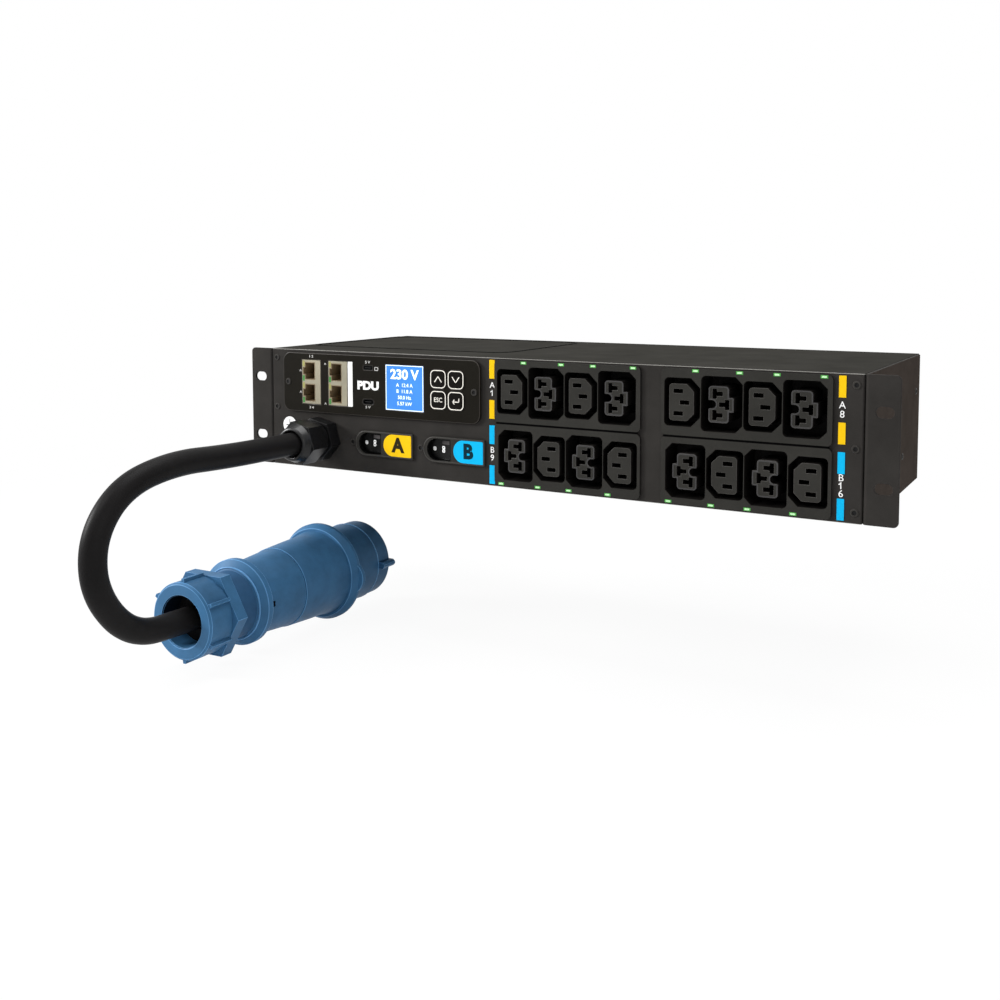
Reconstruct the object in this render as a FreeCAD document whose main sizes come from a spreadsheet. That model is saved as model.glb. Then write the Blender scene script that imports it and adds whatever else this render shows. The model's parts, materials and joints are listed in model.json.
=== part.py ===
import FreeCAD, Part, Sketcher
import math
import os
import re

os.makedirs("parts", exist_ok=True)
doc = FreeCAD.newDocument("rack_power_unit")

# Driving dimensions, in millimetres
# X runs to the right, Y into the rack and Z up. The origin is the middle of the four ear slots, on the
# rear face of the ears, which is the face that meets the rack rails.
DIMENSIONS = {
    # Enclosure
    "unit_width": 441.6,
    "unit_height": 88.0,
    "chassis_depth": 176.0,
    "sheet": 1.2,
    "panel_thick": 2.0,
    "front_flange": 12.0,
    "cover_play": 0.4,
    "cover_lip": 12.0,
    "press_width": 176.0,
    "press_depth": 128.0,
    "press_round": 14.0,
    "press_step": 0.3,
    "press_x": -129.0,
    "press_y": 14.0,
    # Rack ears
    "ear_thick": 2.0,
    "front_y": 0.0,
    "ear_reach": 241.3,
    "ear_play": 0.1,
    "ear_bend": 2.5,
    "ear_side": 168.0,
    "ear_corner": 3.0,
    "slot_x": 232.55,
    "slot_z": 22.225,
    "slot_long": 10.5,
    "slot_high": 6.8,
    # Fasteners
    "screw_head": 2.7,
    "screw_head_high": 0.8,
    "screw_shank": 1.5,
    "screw_hole": 1.7,
    "screw_long": 5.0,
    "panel_screw_x": 216.4,
    "panel_screw_z": 37.4,
    "side_screw_y_high": 153.0,
    "side_screw_z_high": 19.4,
    "side_screw_y_low": 107.0,
    "side_screw_z_low": -19.6,
    "cover_screw_x": 195.0,
    "cover_screw_z": 36.5,
    # Controller module
    "plate_x": -122.2,
    "plate_z": 19.8,
    "plate_width": 172.4,
    "plate_high": 43.9,
    "plate_round": 6.5,
    "plate_thick": 2.2,
    "plate_screw_x": 81.6,
    "bay_width": 154.0,
    "bay_high": 37.0,
    "bay_round": 1.0,
    "port_gap": 0.3,
    "board_y": 14.0,
    "board_thick": 1.6,
    "board_width": 156.0,
    "board_high": 40.0,
    "jack_left_x": -181.9,
    "jack_right_x": -157.3,
    "jack_z": 20.3,
    "jack_width": 17.0,
    "jack_high": 32.6,
    "jack_pitch": 16.2,
    "jack_hole_left": -5.5,
    "jack_hole_right": 3.0,
    "jack_hole_half": 6.0,
    "jack_latch_left": -7.4,
    "jack_latch_half": 2.4,
    "jack_hole_deep": 13.0,
    "jack_wall": 0.5,
    "close_fit": 0.05,
    "jack_lamp_width": 2.0,
    "jack_lamp_high": 4.2,
    "jack_lamp_x": -7.2,
    "jack_lamp_z": 5.5,
    "jack_lamp_deep": 1.5,
    "lamp_play": 0.1,
    "usb_x": -130.0,
    "usb_upper_z": 33.0,
    "usb_lower_z": 8.3,
    "usb_upper_width": 8.0,
    "usb_upper_high": 3.0,
    "usb_lower_width": 9.4,
    "usb_lower_high": 3.6,
    "usb_upper_round": 0.8,
    "usb_lower_round": 1.7,
    "usb_wall": 0.35,
    "usb_deep": 7.0,
    "usb_tongue_width": 5.6,
    "usb_tongue_thick": 0.7,
    "display_x": -98.35,
    "display_z": 19.8,
    "display_width": 32.1,
    "display_high": 32.3,
    "display_sink": 0.1,
    "key_left_x": -69.45,
    "key_right_x": -55.0,
    "key_upper_z": 27.7,
    "key_lower_z": 13.0,
    "key_size": 12.7,
    "key_round": 3.5,
    "key_play": 0.3,
    "key_proud": 0.7,
    "key_rim": 13.9,
    "key_rim_thick": 0.8,
    "key_stem": 2.0,
    "key_travel_gap": 0.7,
    "switch_size": 6.0,
    "switch_high": 4.0,
    # Circuit breakers
    "breaker_a_x": -117.1,
    "breaker_b_x": -57.8,
    "breaker_z": -22.1,
    "bezel_width": 50.5,
    "bezel_high": 18.4,
    "bezel_proud": 1.6,
    "bezel_end": 1.0,
    "sleeve_width": 46.5,
    "sleeve_high": 16.8,
    "sleeve_deep": 6.0,
    "window_left": -22.0,
    "window_right": -2.3,
    "window_high": 15.4,
    "tag_left": -0.05,
    "tag_right": 24.05,
    "tag_high": 16.0,
    "tag_sink": 0.6,
    "tag_thick": 1.0,
    "tag_play": 0.1,
    "rocker_width": 17.9,
    "rocker_high": 14.6,
    "rocker_thick": 6.0,
    "rocker_sink": 3.2,
    "rocker_dish": 1.0,
    "rocker_heel": 0.6,
    "rocker_edge": 0.5,
    "rocker_tilt": 7.0,
    "pivot_pin": 1.2,
    "pivot_hole": 1.35,
    "pivot_reach": 8.3,
    "breaker_high": 24.0,
    "breaker_deep": 46.0,
    "breaker_gap": 0.4,
    "cavity_deep": 4.0,
    "breaker_screw_left": -28.3,
    # Outlet blocks
    "column_left_x": 28.6,
    "column_right_x": 149.7,
    "row_z": 21.6,
    "block_width": 107.0,
    "block_high": 42.4,
    "block_round": 3.5,
    "block_proud": 1.6,
    "neck_width": 104.4,
    "neck_high": 38.6,
    "neck_round": 2.5,
    "neck_deep": 31.5,
    "neck_play": 0.6,
    "socket_first": -39.6,
    "socket_pitch": 25.6,
    "small_width": 23.6,
    "small_high": 30.4,
    "small_cut": 6.0,
    "small_deep": 18.0,
    "small_boss_width": 16.2,
    "small_boss_high": 23.0,
    "small_boss_cut": 4.6,
    "small_slot_x": -2.2,
    "small_slot_z": 7.0,
    "small_earth_x": 2.0,
    "slot_blade_long": 6.3,
    "slot_blade_thick": 2.8,
    "large_width": 26.4,
    "large_high": 34.4,
    "large_cut": 4.5,
    "large_deep": 21.0,
    "large_lobe_left": -8.0,
    "large_lobe_right": 5.0,
    "large_earth_right": 8.0,
    "large_half_high": 11.3,
    "large_earth_half": 4.5,
    "large_notch_right": -3.2,
    "large_notch_half": 2.6,
    "large_slot_x": -4.15,
    "large_slot_z": 6.6,
    "large_earth_x": 3.8,
    "socket_round": 3.0,
    "boss_round": 2.2,
    "boss_edge": 0.6,
    "boss_proud": 1.0,
    "tee_stem": 3.8,
    "contact_play": 0.3,
    "contact_sink": 9.0,
    "lamp_width": 4.4,
    "lamp_high": 2.0,
    "lamp_deep": 1.2,
    "lamp_small_shift": 8.6,
    "lamp_large_shift": 11.1,
    "lamp_z": 19.9,
    "outlet_board_width": 110.0,
    "outlet_board_high": 82.0,
    "relay_width": 18.0,
    "relay_high": 12.0,
    "relay_deep": 15.5,
    # Colour markers beside the outlets
    "marker_left_x": -27.4,
    "marker_right_x": 208.35,
    "marker_width": 4.2,
    "marker_high": 12.8,
    "marker_thick": 0.3,
    "marker_outer_z": 36.2,
    "marker_inner_z": 8.7,
    # Earth disc
    "earth_x": -204.5,
    "earth_z": -13.5,
    "earth_disc": 6.3,
    "earth_thick": 0.4,
    # Cable gland, measured outwards from the panel face
    "gland_x": -172.5,
    "gland_z": -21.2,
    "gland_flats": 28.2,
    "gland_turn": 17.0,
    "gland_hex_long": 10.5,
    "gland_nose": 15.0,
    "gland_nose_radius": 11.3,
    "gland_bore": 9.0,
    "gland_shank": 12.6,
    "gland_shank_hole": 12.9,
    "gland_shank_long": 13.0,
    "nut_skirt_radius": 13.2,
    "nut_back": 11.2,
    "nut_hex_back": 15.5,
    "nut_hex_front": 31.5,
    "nut_front": 37.6,
    "nut_front_radius": 11.7,
    "nut_dome_round": 2.0,
    "nut_mouth": 9.4,
    "nut_mouth_bevel": 0.7,
    "nut_bore": 11.5,
    "nut_bore_end": 30.0,
    "locknut_flats": 31.0,
    "locknut_thick": 7.0,
    "locknut_turn": 30.0,
    "seal_play": 0.1,
    "seal_gap": 0.3,
    "seal_cone": 3.5,
    "nut_cone": 3.2,
    "cord_diameter": 16.5,
    "cord_play": 0.1,
    # Plug, measured along its axis from the cable end
    "plug_x": -176.3,
    "plug_y": -144.3,
    "plug_z": -122.4,
    "cable_nut_radius": 25.6,
    "cable_nut_mouth": 17.0,
    "cable_nut_bevel": 1.4,
    "cable_nut_thread": 20.4,
    "thread_start": 18.0,
    "thread_play": 0.2,
    "grip_start": 19.5,
    "grip_end": 28.6,
    "grip_flats": 52.8,
    "grip_turn": 30.0,
    "rib_reach": 28.0,
    "rib_start": 1.8,
    "rib_root": 3.6,
    "rib_crest": 2.2,
    "rib_sink": 4.0,
    "rib_count": 6.0,
    "grommet_start": 15.0,
    "grommet_end": 33.0,
    "grommet_gap": 0.5,
    "grommet_fit": 0.2,
    "neck_radius": 23.0,
    "neck_wall": 37.0,
    "collar_start": 45.5,
    "collar_slope_end": 50.0,
    "collar_end": 54.5,
    "collar_foot": 56.5,
    "collar_radius": 29.6,
    "barrel_start_radius": 25.4,
    "rear_end_radius": 27.9,
    "parting": 90.6,
    "parting_line": 0.4,
    "front_start_radius": 28.4,
    "barrel_swell": 114.0,
    "barrel_swell_radius": 29.6,
    "flare_start": 128.0,
    "flare_start_radius": 30.0,
    "flare_end_radius": 31.4,
    "flange_start": 135.5,
    "flange_face_radius": 33.3,
    "flange_rim": 140.5,
    "flange_end": 144.0,
    "flange_radius": 36.0,
    "flange_bevel": 0.8,
    "flange_lug_radius": 12.0,
    "flange_lug_middle": 27.5,
    "flange_lug_turn": -2.0,
    "shroud_end": 189.6,
    "shroud_radius": 29.1,
    "shroud_bore": 26.4,
    "shroud_ring": 174.4,
    "shroud_ring_step": 0.5,
    "shroud_bevel": 0.7,
    "shroud_floor": 152.0,
    "shell_wall": 3.2,
    "key_rib_width": 5.0,
    "key_rib_reach": 34.0,
    "key_rib_long": 14.4,
    "drain_hole": 1.2,
    "drain_y": 57.6,
    "pin_circle": 13.5,
    "pin_radius": 3.0,
    "earth_pin_radius": 4.0,
    "pin_end": 182.0,
    "pin_tail": 6.0,
    # Wiring parts behind the panel
    "terminal_width": 48.0,
    "terminal_y": 72.0,
    "terminal_deep": 24.0,
    "terminal_high": 22.0,
    "core_radius": 2.4,
    "core_spread": 4.2,
    "supply_width": 96.0,
    "supply_depth": 76.0,
    "supply_x": -110.0,
    "supply_y": 84.0,
    "supply_lift": 8.0,
    "post_inset": 6.0,
    "transformer_width": 42.0,
    "transformer_high": 34.0,
}

sheet = doc.addObject("Spreadsheet::Sheet", "Dimensions")
for row, (alias, amount) in enumerate(DIMENSIONS.items(), start=1):
    sheet.set("A%d" % row, alias)
    sheet.set("B%d" % row, str(amount))
    sheet.setAlias("B%d" % row, alias)
doc.recompute()

NODES = []
BACK = FreeCAD.Vector(0, 1, 0)
FRONT = FreeCAD.Vector(0, -1, 0)
RIGHT = FreeCAD.Vector(1, 0, 0)
UP = FreeCAD.Vector(0, 0, 1)
PANEL_FACE = "(front_y - panel_thick)"
SAME_PLACE = 0.001


# Reading and binding the sheet


def size(alias):
    """The number in a cell of the sheet."""
    return float(sheet.get(alias))


def bound(text):
    """An expression in which every alias is read from the sheet."""
    return re.sub(r"[a-z_]+", lambda word: "Dimensions." + word.group(0), str(text))


def place(piece, x, y, z):
    """Bind a piece's position."""
    for axis, text in zip("xyz", (x, y, z)):
        piece.setExpression("Placement.Base." + axis, bound(text))


def node(piece, label):
    """Make a piece one of the sub-parts."""
    piece.Label = label
    NODES.append(piece)
    return piece


# Part primitives, booleans and groups


def block(name, x, y, z, width, depth, height):
    """A box centred on x and z that starts at y and runs back."""
    piece = doc.addObject("Part::Box", name)
    for side, text in (("Length", width), ("Width", depth), ("Height", height)):
        piece.setExpression(side, bound(text))
    place(piece, "%s - (%s) / 2" % (x, width), y, "%s - (%s) / 2" % (z, height))
    return piece


def rod(name, x, y, z, radius, length, direction=BACK):
    """A round bar from a point, along a direction."""
    piece = doc.addObject("Part::Cylinder", name)
    piece.setExpression("Radius", bound(radius))
    piece.setExpression("Height", bound(length))
    piece.Placement = FreeCAD.Placement(FreeCAD.Vector(), FreeCAD.Rotation(UP, direction))
    place(piece, x, y, z)
    return piece


def joined(name, pieces):
    """One solid from pieces that overlap or share a face."""
    piece = doc.addObject("Part::MultiFuse", name)
    piece.Shapes = pieces
    piece.Refine = True
    return piece


def cut(name, base, tool):
    """A solid with another taken away."""
    piece = doc.addObject("Part::Cut", name)
    piece.Base = base
    piece.Tool = tool
    return piece


def group(label, pieces):
    """Separate like pieces kept as one sub-part."""
    piece = doc.addObject("Part::Compound", label)
    piece.Links = pieces
    return node(piece, label)


def screw(name, x, y, z, direction):
    """A low-headed screw whose head rests at a point, with its shank the other way."""
    head = rod(name + "Head", x, y, z, "screw_head", "screw_head_high", direction)
    shank = rod(name + "Shank", x, y, z, "screw_shank", "screw_long", direction * -1)
    return joined(name, [head, shank])


# Bodies, sketches and features


def new_body(label, x="0", y="0", z="0", turn=None):
    """A body at a bound position, turned if need be."""
    owner = doc.addObject("PartDesign::Body", label)
    if turn is not None:
        owner.Placement = FreeCAD.Placement(FreeCAD.Vector(), turn)
    place(owner, x, y, z)
    return node(owner, label)


def sketch_in(owner, role="XZ_Plane", across="0", up="0", out="0"):
    """A sketch on one of a body's own planes, moved across, up and out of it."""
    sketch = owner.newObject("Sketcher::SketchObject", "Sketch")
    sketch.AttachmentSupport = [(next(part for part in owner.Origin.OriginFeatures if part.Role == role), "")]
    sketch.MapMode = "FlatFace"
    for axis, text in zip("xyz", (across, up, out)):
        sketch.setExpression("AttachmentOffset.Base." + axis, bound(text))
    return sketch


def rectangle(sketch, width, height):
    """A rectangle centred on the sketch, its two sizes bound to the sheet."""
    half_x = 20.0
    half_z = 10.0
    corners = [(-half_x, -half_z), (half_x, -half_z), (half_x, half_z), (-half_x, half_z)]
    points = [FreeCAD.Vector(x, z, 0) for x, z in corners]
    sides = [Part.LineSegment(points[side], points[(side + 1) % 4]) for side in range(4)]
    sketch.addGeometry(sides, False)
    for side in range(4):
        sketch.addConstraint(Sketcher.Constraint("Coincident", side, 2, (side + 1) % 4, 1))
    for kind, side in (("Horizontal", 0), ("Vertical", 1), ("Horizontal", 2), ("Vertical", 3)):
        sketch.addConstraint(Sketcher.Constraint(kind, side))
    sketch.addConstraint(Sketcher.Constraint("Symmetric", 0, 1, 2, 1, -1, 1))
    across = sketch.addConstraint(Sketcher.Constraint("DistanceX", 0, 1, 0, 2, 2 * half_x))
    up = sketch.addConstraint(Sketcher.Constraint("DistanceY", 1, 1, 1, 2, 2 * half_z))
    sketch.setExpression("Constraints[%d]" % across, bound(width))
    sketch.setExpression("Constraints[%d]" % up, bound(height))


def outline(sketch, corners):
    """A closed outline through corners given as x, z and rounding; a negative rounding is a bevel's leg."""
    points = [FreeCAD.Vector(x, z, 0) for x, z, rounding in corners]
    turns = []
    for index, (x, z, rounding) in enumerate(corners):
        here = points[index]
        behind = (points[index - 1] - here).normalize()
        ahead = (points[(index + 1) % len(points)] - here).normalize()
        if rounding == 0:
            turns.append((here, here, here))
            continue
        if rounding < 0:
            turns.append((here - behind * rounding, None, here - ahead * rounding))
            continue
        half = behind.getAngle(ahead) / 2
        reach = rounding / math.tan(half)
        middle = here + (behind + ahead).normalize() * (rounding / math.sin(half) - rounding)
        turns.append((here + behind * reach, middle, here + ahead * reach))
    for index, (first, middle, last) in enumerate(turns):
        following = turns[(index + 1) % len(turns)][0]
        if middle is None:
            sketch.addGeometry(Part.LineSegment(first, last), False)
        elif first.distanceToPoint(last) > SAME_PLACE:
            sketch.addGeometry(Part.Arc(first, middle, last), False)
        if last.distanceToPoint(following) > SAME_PLACE:
            sketch.addGeometry(Part.LineSegment(last, following), False)


def frame(sketch, x, z, width, height, rounding):
    """A rounded rectangle centred at x and z."""
    half_x = width / 2
    half_z = height / 2
    outline(sketch, [
        (x - half_x, z - half_z, rounding),
        (x + half_x, z - half_z, rounding),
        (x + half_x, z + half_z, rounding),
        (x - half_x, z + half_z, rounding),
    ])


def ring(sketch, x, z, radius):
    """A circle."""
    sketch.addGeometry(Part.Circle(FreeCAD.Vector(x, z, 0), FreeCAD.Vector(0, 0, 1), radius), False)


def hexagon(sketch, flats, turn):
    """A hexagon about the sketch's middle, with one flat facing the turn angle."""
    corner = flats / math.sqrt(3)
    angles = [math.radians(turn + 30 + 60 * side) for side in range(6)]
    outline(sketch, [(corner * math.cos(angle), corner * math.sin(angle), 0) for angle in angles])


def feature(owner, kind, sketch, length, backwards=None, both=False):
    """A pad or pocket of a bound length."""
    piece = owner.newObject("PartDesign::" + kind, kind)
    piece.Profile = sketch
    piece.setExpression("Length", bound(length))
    piece.Midplane = both
    if backwards is not None:
        piece.Reversed = backwards
    return piece


def pad(owner, sketch, length):
    """A pad that runs back from the front, along +Y."""
    return feature(owner, "Pad", sketch, length, backwards=True)


def pocket(owner, sketch, depth, both=False):
    """A pocket that runs back from the front, along +Y."""
    return feature(owner, "Pocket", sketch, depth, both=both)


def turned(owner, profile, kind="Revolution"):
    """A body turned about its Y axis from radius and length points."""
    sketch = sketch_in(owner, "XY_Plane")
    outline(sketch, profile)
    piece = owner.newObject("PartDesign::" + kind, kind)
    piece.Profile = sketch
    piece.ReferenceAxis = (sketch, ["V_Axis"])
    piece.Angle = 360
    return piece


def softened(owner, base, edges, radius):
    """A fillet on chosen edges of the body so far."""
    doc.recompute()
    names = ["Edge%d" % (index + 1) for index, edge in enumerate(base.Shape.Edges) if edges(edge)]
    piece = owner.newObject("PartDesign::Fillet", "Fillet")
    piece.Base = (base, names)
    piece.setExpression("Radius", bound(radius))
    return piece


# Enclosure


def chassis_tray():
    """The folded tray: floor, side and rear walls, and two front flanges."""
    owner = new_body("chassis_tray", "0", "front_y + chassis_depth / 2", "-unit_height / 2")
    outer = sketch_in(owner, "XY_Plane")
    rectangle(outer, "unit_width", "chassis_depth")
    feature(owner, "Pad", outer, "unit_height - sheet")
    inner = sketch_in(owner, "XY_Plane", out="unit_height - sheet")
    rectangle(inner, "unit_width - 2 * sheet", "chassis_depth - 2 * sheet")
    feature(owner, "Pocket", inner, "unit_height - 2 * sheet")
    window = sketch_in(owner, "XZ_Plane", up="unit_height / 2", out="chassis_depth / 2")
    rectangle(window, "unit_width - 2 * front_flange", "unit_height - 2 * sheet")
    pocket(owner, window, "2 * sheet")
    holes = sketch_in(owner, "XZ_Plane", up="unit_height / 2", out="chassis_depth / 2")
    for x in (-size("panel_screw_x"), size("panel_screw_x")):
        for z in (-size("panel_screw_z"), 0, size("panel_screw_z")):
            ring(holes, x, z, size("screw_hole"))
    pocket(owner, holes, "2 * sheet")
    sides = sketch_in(owner, "YZ_Plane", up="unit_height / 2")
    for which in ("high", "low"):
        y = size("side_screw_y_" + which) - size("front_y") - size("chassis_depth") / 2
        ring(sides, y, size("side_screw_z_" + which), size("screw_hole"))
    pocket(owner, sides, "2 * unit_width", both=True)
    rear = sketch_in(owner, "XZ_Plane", up="unit_height / 2", out="-chassis_depth / 2 + 2 * sheet")
    for step in (-1, 0, 1):
        ring(rear, step * size("cover_screw_x"), size("cover_screw_z"), size("screw_hole"))
    pocket(owner, rear, "4 * sheet")


def top_cover():
    """The lid, with a lip folded down behind and a shallow pressed field at the left."""
    owner = new_body("top_cover", "0", "front_y + chassis_depth / 2", "unit_height / 2 - sheet")
    plate = sketch_in(owner, "XY_Plane")
    rectangle(plate, "unit_width - cover_play", "chassis_depth")
    feature(owner, "Pad", plate, "sheet")
    lip = sketch_in(owner, "XZ_Plane", up="sheet - cover_lip / 2", out="-chassis_depth / 2")
    rectangle(lip, "unit_width - cover_play", "cover_lip")
    pad(owner, lip, "sheet")
    field = sketch_in(owner, "XY_Plane", out="sheet")
    frame(field, size("press_x"), size("press_y"), size("press_width"), size("press_depth"),
          size("press_round"))
    feature(owner, "Pocket", field, "press_step")
    holes = sketch_in(owner, "XZ_Plane", up="-unit_height / 2 + sheet", out="-chassis_depth / 2")
    for step in (-1, 0, 1):
        ring(holes, step * size("cover_screw_x"), size("cover_screw_z"), size("screw_hole"))
    pocket(owner, holes, "2 * sheet")


def front_panel():
    """The front plate with its openings for outlets, controller, breakers and gland."""
    owner = new_body("front_panel", "0", PANEL_FACE, "0")
    plate = sketch_in(owner)
    rectangle(plate, "unit_width", "unit_height")
    base = pad(owner, plate, "panel_thick")
    half = size("unit_width") / 2
    softened(owner, base, lambda edge: abs(edge.BoundBox.YMax) < SAME_PLACE
             and edge.BoundBox.XLength < SAME_PLACE
             and abs(abs(edge.BoundBox.XMin) - half) < SAME_PLACE, "panel_thick / 2")
    holes = sketch_in(owner)
    for x in (size("column_left_x"), size("column_right_x")):
        for z in (-size("row_z"), size("row_z")):
            frame(holes, x, z, size("neck_width") + size("neck_play"),
                  size("neck_high") + size("neck_play"), size("neck_round"))
    frame(holes, size("plate_x"), size("plate_z"), size("bay_width"), size("bay_high"), size("bay_round"))
    for x in (size("breaker_a_x"), size("breaker_b_x")):
        reach = (size("sleeve_width") + size("breaker_gap")) / 2
        high = size("sleeve_high") + size("breaker_gap")
        breaker_outline(holes, x - reach, x + reach, high, size("breaker_z"))
        ring(holes, x + size("breaker_screw_left"), size("breaker_z"), size("screw_hole"))
    for x in (-size("plate_screw_x"), size("plate_screw_x")):
        ring(holes, size("plate_x") + x, size("plate_z"), size("screw_hole"))
    for x in (-size("panel_screw_x"), size("panel_screw_x")):
        for z in (-size("panel_screw_z"), 0, size("panel_screw_z")):
            ring(holes, x, z, size("screw_hole"))
    ring(holes, size("gland_x"), size("gland_z"), size("gland_shank_hole"))
    pocket(owner, holes, "2 * panel_thick")


def rack_ear(label, side):
    """A folded angle: the slotted ear in front and the flange along the chassis wall."""
    owner = new_body(label)
    inner = side * (size("unit_width") / 2 + size("ear_play"))
    outer = inner + side * size("ear_thick")
    profile = sketch_in(owner, "XY_Plane")
    outline(profile, [
        (inner, -size("ear_thick"), size("ear_bend")),
        (side * size("ear_reach"), -size("ear_thick"), 0),
        (side * size("ear_reach"), 0, 0),
        (outer, 0, size("ear_bend") - size("ear_thick")),
        (outer, size("ear_side"), 0),
        (inner, size("ear_side"), 0),
    ])
    bend = feature(owner, "Pad", profile, "unit_height", both=True)
    tip = size("ear_reach")
    softened(owner, bend, lambda edge: edge.BoundBox.XLength < SAME_PLACE
             and edge.BoundBox.ZLength < SAME_PLACE
             and abs(abs(edge.BoundBox.XMin) - tip) < SAME_PLACE, "ear_corner")
    slots = sketch_in(owner)
    for z in (-size("slot_z"), size("slot_z")):
        frame(slots, side * size("slot_x"), z, size("slot_long"), size("slot_high"), size("slot_high") / 2)
    pocket(owner, slots, "4 * ear_thick", both=True)
    holes = sketch_in(owner, "YZ_Plane")
    for which in ("high", "low"):
        ring(holes, size("side_screw_y_" + which), size("side_screw_z_" + which), size("screw_hole"))
    pocket(owner, holes, "2 * unit_width", both=True)


def enclosure_screws():
    """The screws of the front panel, the ears and the lid."""
    panel = []
    for x in ("-panel_screw_x", "panel_screw_x"):
        for z in ("-panel_screw_z", "0", "panel_screw_z"):
            panel.append(screw("PanelScrew", x, PANEL_FACE, z, FRONT))
    group("panel_screws", panel)
    sides = []
    for sign, direction in (("-", RIGHT * -1), ("", RIGHT)):
        x = sign + "(unit_width / 2 + ear_play + ear_thick)"
        for which in ("high", "low"):
            sides.append(screw("SideScrew", x, "side_screw_y_" + which, "side_screw_z_" + which, direction))
    group("ear_screws", sides)
    y = "front_y + chassis_depth + sheet"
    rear = [screw("LidScrew", "%d * cover_screw_x" % step, y, "cover_screw_z", BACK) for step in (-1, 0, 1)]
    group("cover_screws", rear)


# Controller module

PLATE_FACE = "(front_y - panel_thick - plate_thick)"


def controller_faceplate():
    """The moulded plate that carries the ports, the display and the keys."""
    owner = new_body("controller_faceplate", "plate_x", PLATE_FACE, "plate_z")
    plate = sketch_in(owner)
    frame(plate, 0, 0, size("plate_width"), size("plate_high"), size("plate_round"))
    pad(owner, plate, "plate_thick")
    left = size("plate_x")
    low = size("plate_z")
    holes = sketch_in(owner)
    gap = size("port_gap")
    for x in (size("jack_left_x"), size("jack_right_x")):
        frame(holes, x - left, size("jack_z") - low, size("jack_width") + gap, size("jack_high") + gap, 0)
    for which in ("upper", "lower"):
        frame(holes, size("usb_x") - left, size("usb_%s_z" % which) - low,
              size("usb_%s_width" % which) + gap, size("usb_%s_high" % which) + gap,
              size("usb_%s_round" % which) + gap / 2)
    frame(holes, size("display_x") - left, size("display_z") - low,
          size("display_width") + gap, size("display_high") + gap, 0)
    opening = size("key_size") + 2 * size("key_play")
    for x in (size("key_left_x"), size("key_right_x")):
        for z in (size("key_upper_z"), size("key_lower_z")):
            frame(holes, x - left, z - low, opening, opening, size("key_round") + size("key_play"))
    for x in (-size("plate_screw_x"), size("plate_screw_x")):
        ring(holes, x, 0, size("screw_hole"))
    pocket(owner, holes, "2 * plate_thick")


def socket_mouth(sketch, z, grow):
    """The outline of one network socket on its side, with the latch groove at the left."""
    left = size("jack_hole_left") - grow
    right = size("jack_hole_right") + grow
    half = size("jack_hole_half") + grow
    groove = size("jack_latch_left") - grow
    groove_half = size("jack_latch_half") + grow
    outline(sketch, [
        (left, z - half, 0),
        (right, z - half, 0),
        (right, z + half, 0),
        (left, z + half, 0),
        (left, z + groove_half, 0),
        (groove, z + groove_half, 0),
        (groove, z - groove_half, 0),
        (left, z - groove_half, 0),
    ])


def jack_pair(label, x):
    """A shielded housing with two network sockets, one above the other, lying on their side."""
    owner = new_body(label, x, PLATE_FACE, "jack_z")
    shell = sketch_in(owner)
    rectangle(shell, "jack_width", "jack_high")
    pad(owner, shell, "board_y - front_y + panel_thick + plate_thick")
    rows = (-size("jack_pitch") / 2, size("jack_pitch") / 2)
    openings = sketch_in(owner)
    for z in rows:
        socket_mouth(openings, z, size("jack_wall") + size("close_fit"))
    pocket(owner, openings, "jack_hole_deep + jack_wall")
    lamps = sketch_in(owner)
    for z in rows:
        for step in (-1, 1):
            frame(lamps, size("jack_lamp_x"), z + step * size("jack_lamp_z"),
                  size("jack_lamp_width"), size("jack_lamp_high"), 0)
    pocket(owner, lamps, "jack_lamp_deep")


def jack_liner(x, z):
    """The plastic liner of one network socket, with its latch groove."""
    owner = doc.addObject("PartDesign::Body", "JackLiner")
    place(owner, x, PLATE_FACE, z)
    outer = sketch_in(owner)
    socket_mouth(outer, 0, size("jack_wall"))
    pad(owner, outer, "jack_hole_deep + jack_wall")
    inner = sketch_in(owner)
    socket_mouth(inner, 0, 0)
    pocket(owner, inner, "jack_hole_deep")
    return owner


def network_jacks():
    """Both jack housings, their liners and their lamps."""
    liners = []
    lamps = {-1: [], 1: []}
    for label, x in (("network_jack_left", "jack_left_x"), ("network_jack_right", "jack_right_x")):
        jack_pair(label, x)
        for half in ("- jack_pitch / 2", "+ jack_pitch / 2"):
            z = "jack_z " + half
            liners.append(jack_liner(x, z))
            for step in lamps:
                lamps[step].append(block(
                    "JackLamp", x + " + jack_lamp_x", PLATE_FACE, "%s + %d * jack_lamp_z" % (z, step),
                    "jack_lamp_width - lamp_play", "jack_lamp_deep", "jack_lamp_high - lamp_play"))
    group("jack_liners", liners)
    group("jack_lamps_green", lamps[-1])
    group("jack_lamps_yellow", lamps[1])


def usb_ports():
    """Two small data ports: a flat one above and a round-ended one below."""
    ports = []
    for which in ("upper", "lower"):
        corner = size("usb_%s_round" % which)
        owner = doc.addObject("PartDesign::Body", "UsbPort")
        place(owner, "usb_x", PLATE_FACE, "usb_%s_z" % which)
        wide = size("usb_%s_width" % which)
        high = size("usb_%s_high" % which)
        wall = size("usb_wall")
        shell = sketch_in(owner)
        frame(shell, 0, 0, wide, high, corner)
        pad(owner, shell, "board_y - front_y + panel_thick + plate_thick")
        hollow = sketch_in(owner)
        frame(hollow, 0, 0, wide - 2 * wall, high - 2 * wall, corner - wall)
        frame(hollow, 0, 0, size("usb_tongue_width"), size("usb_tongue_thick"), 0)
        pocket(owner, hollow, "usb_deep")
        ports.append(owner)
    group("usb_ports", ports)


def display():
    """The display module, its window level with the plate."""
    owner = new_body("display", "display_x", PLATE_FACE + " + display_sink", "display_z")
    window = sketch_in(owner)
    rectangle(window, "display_width", "display_high")
    pad(owner, window, "board_y - front_y + panel_thick + plate_thick - display_sink")


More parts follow.
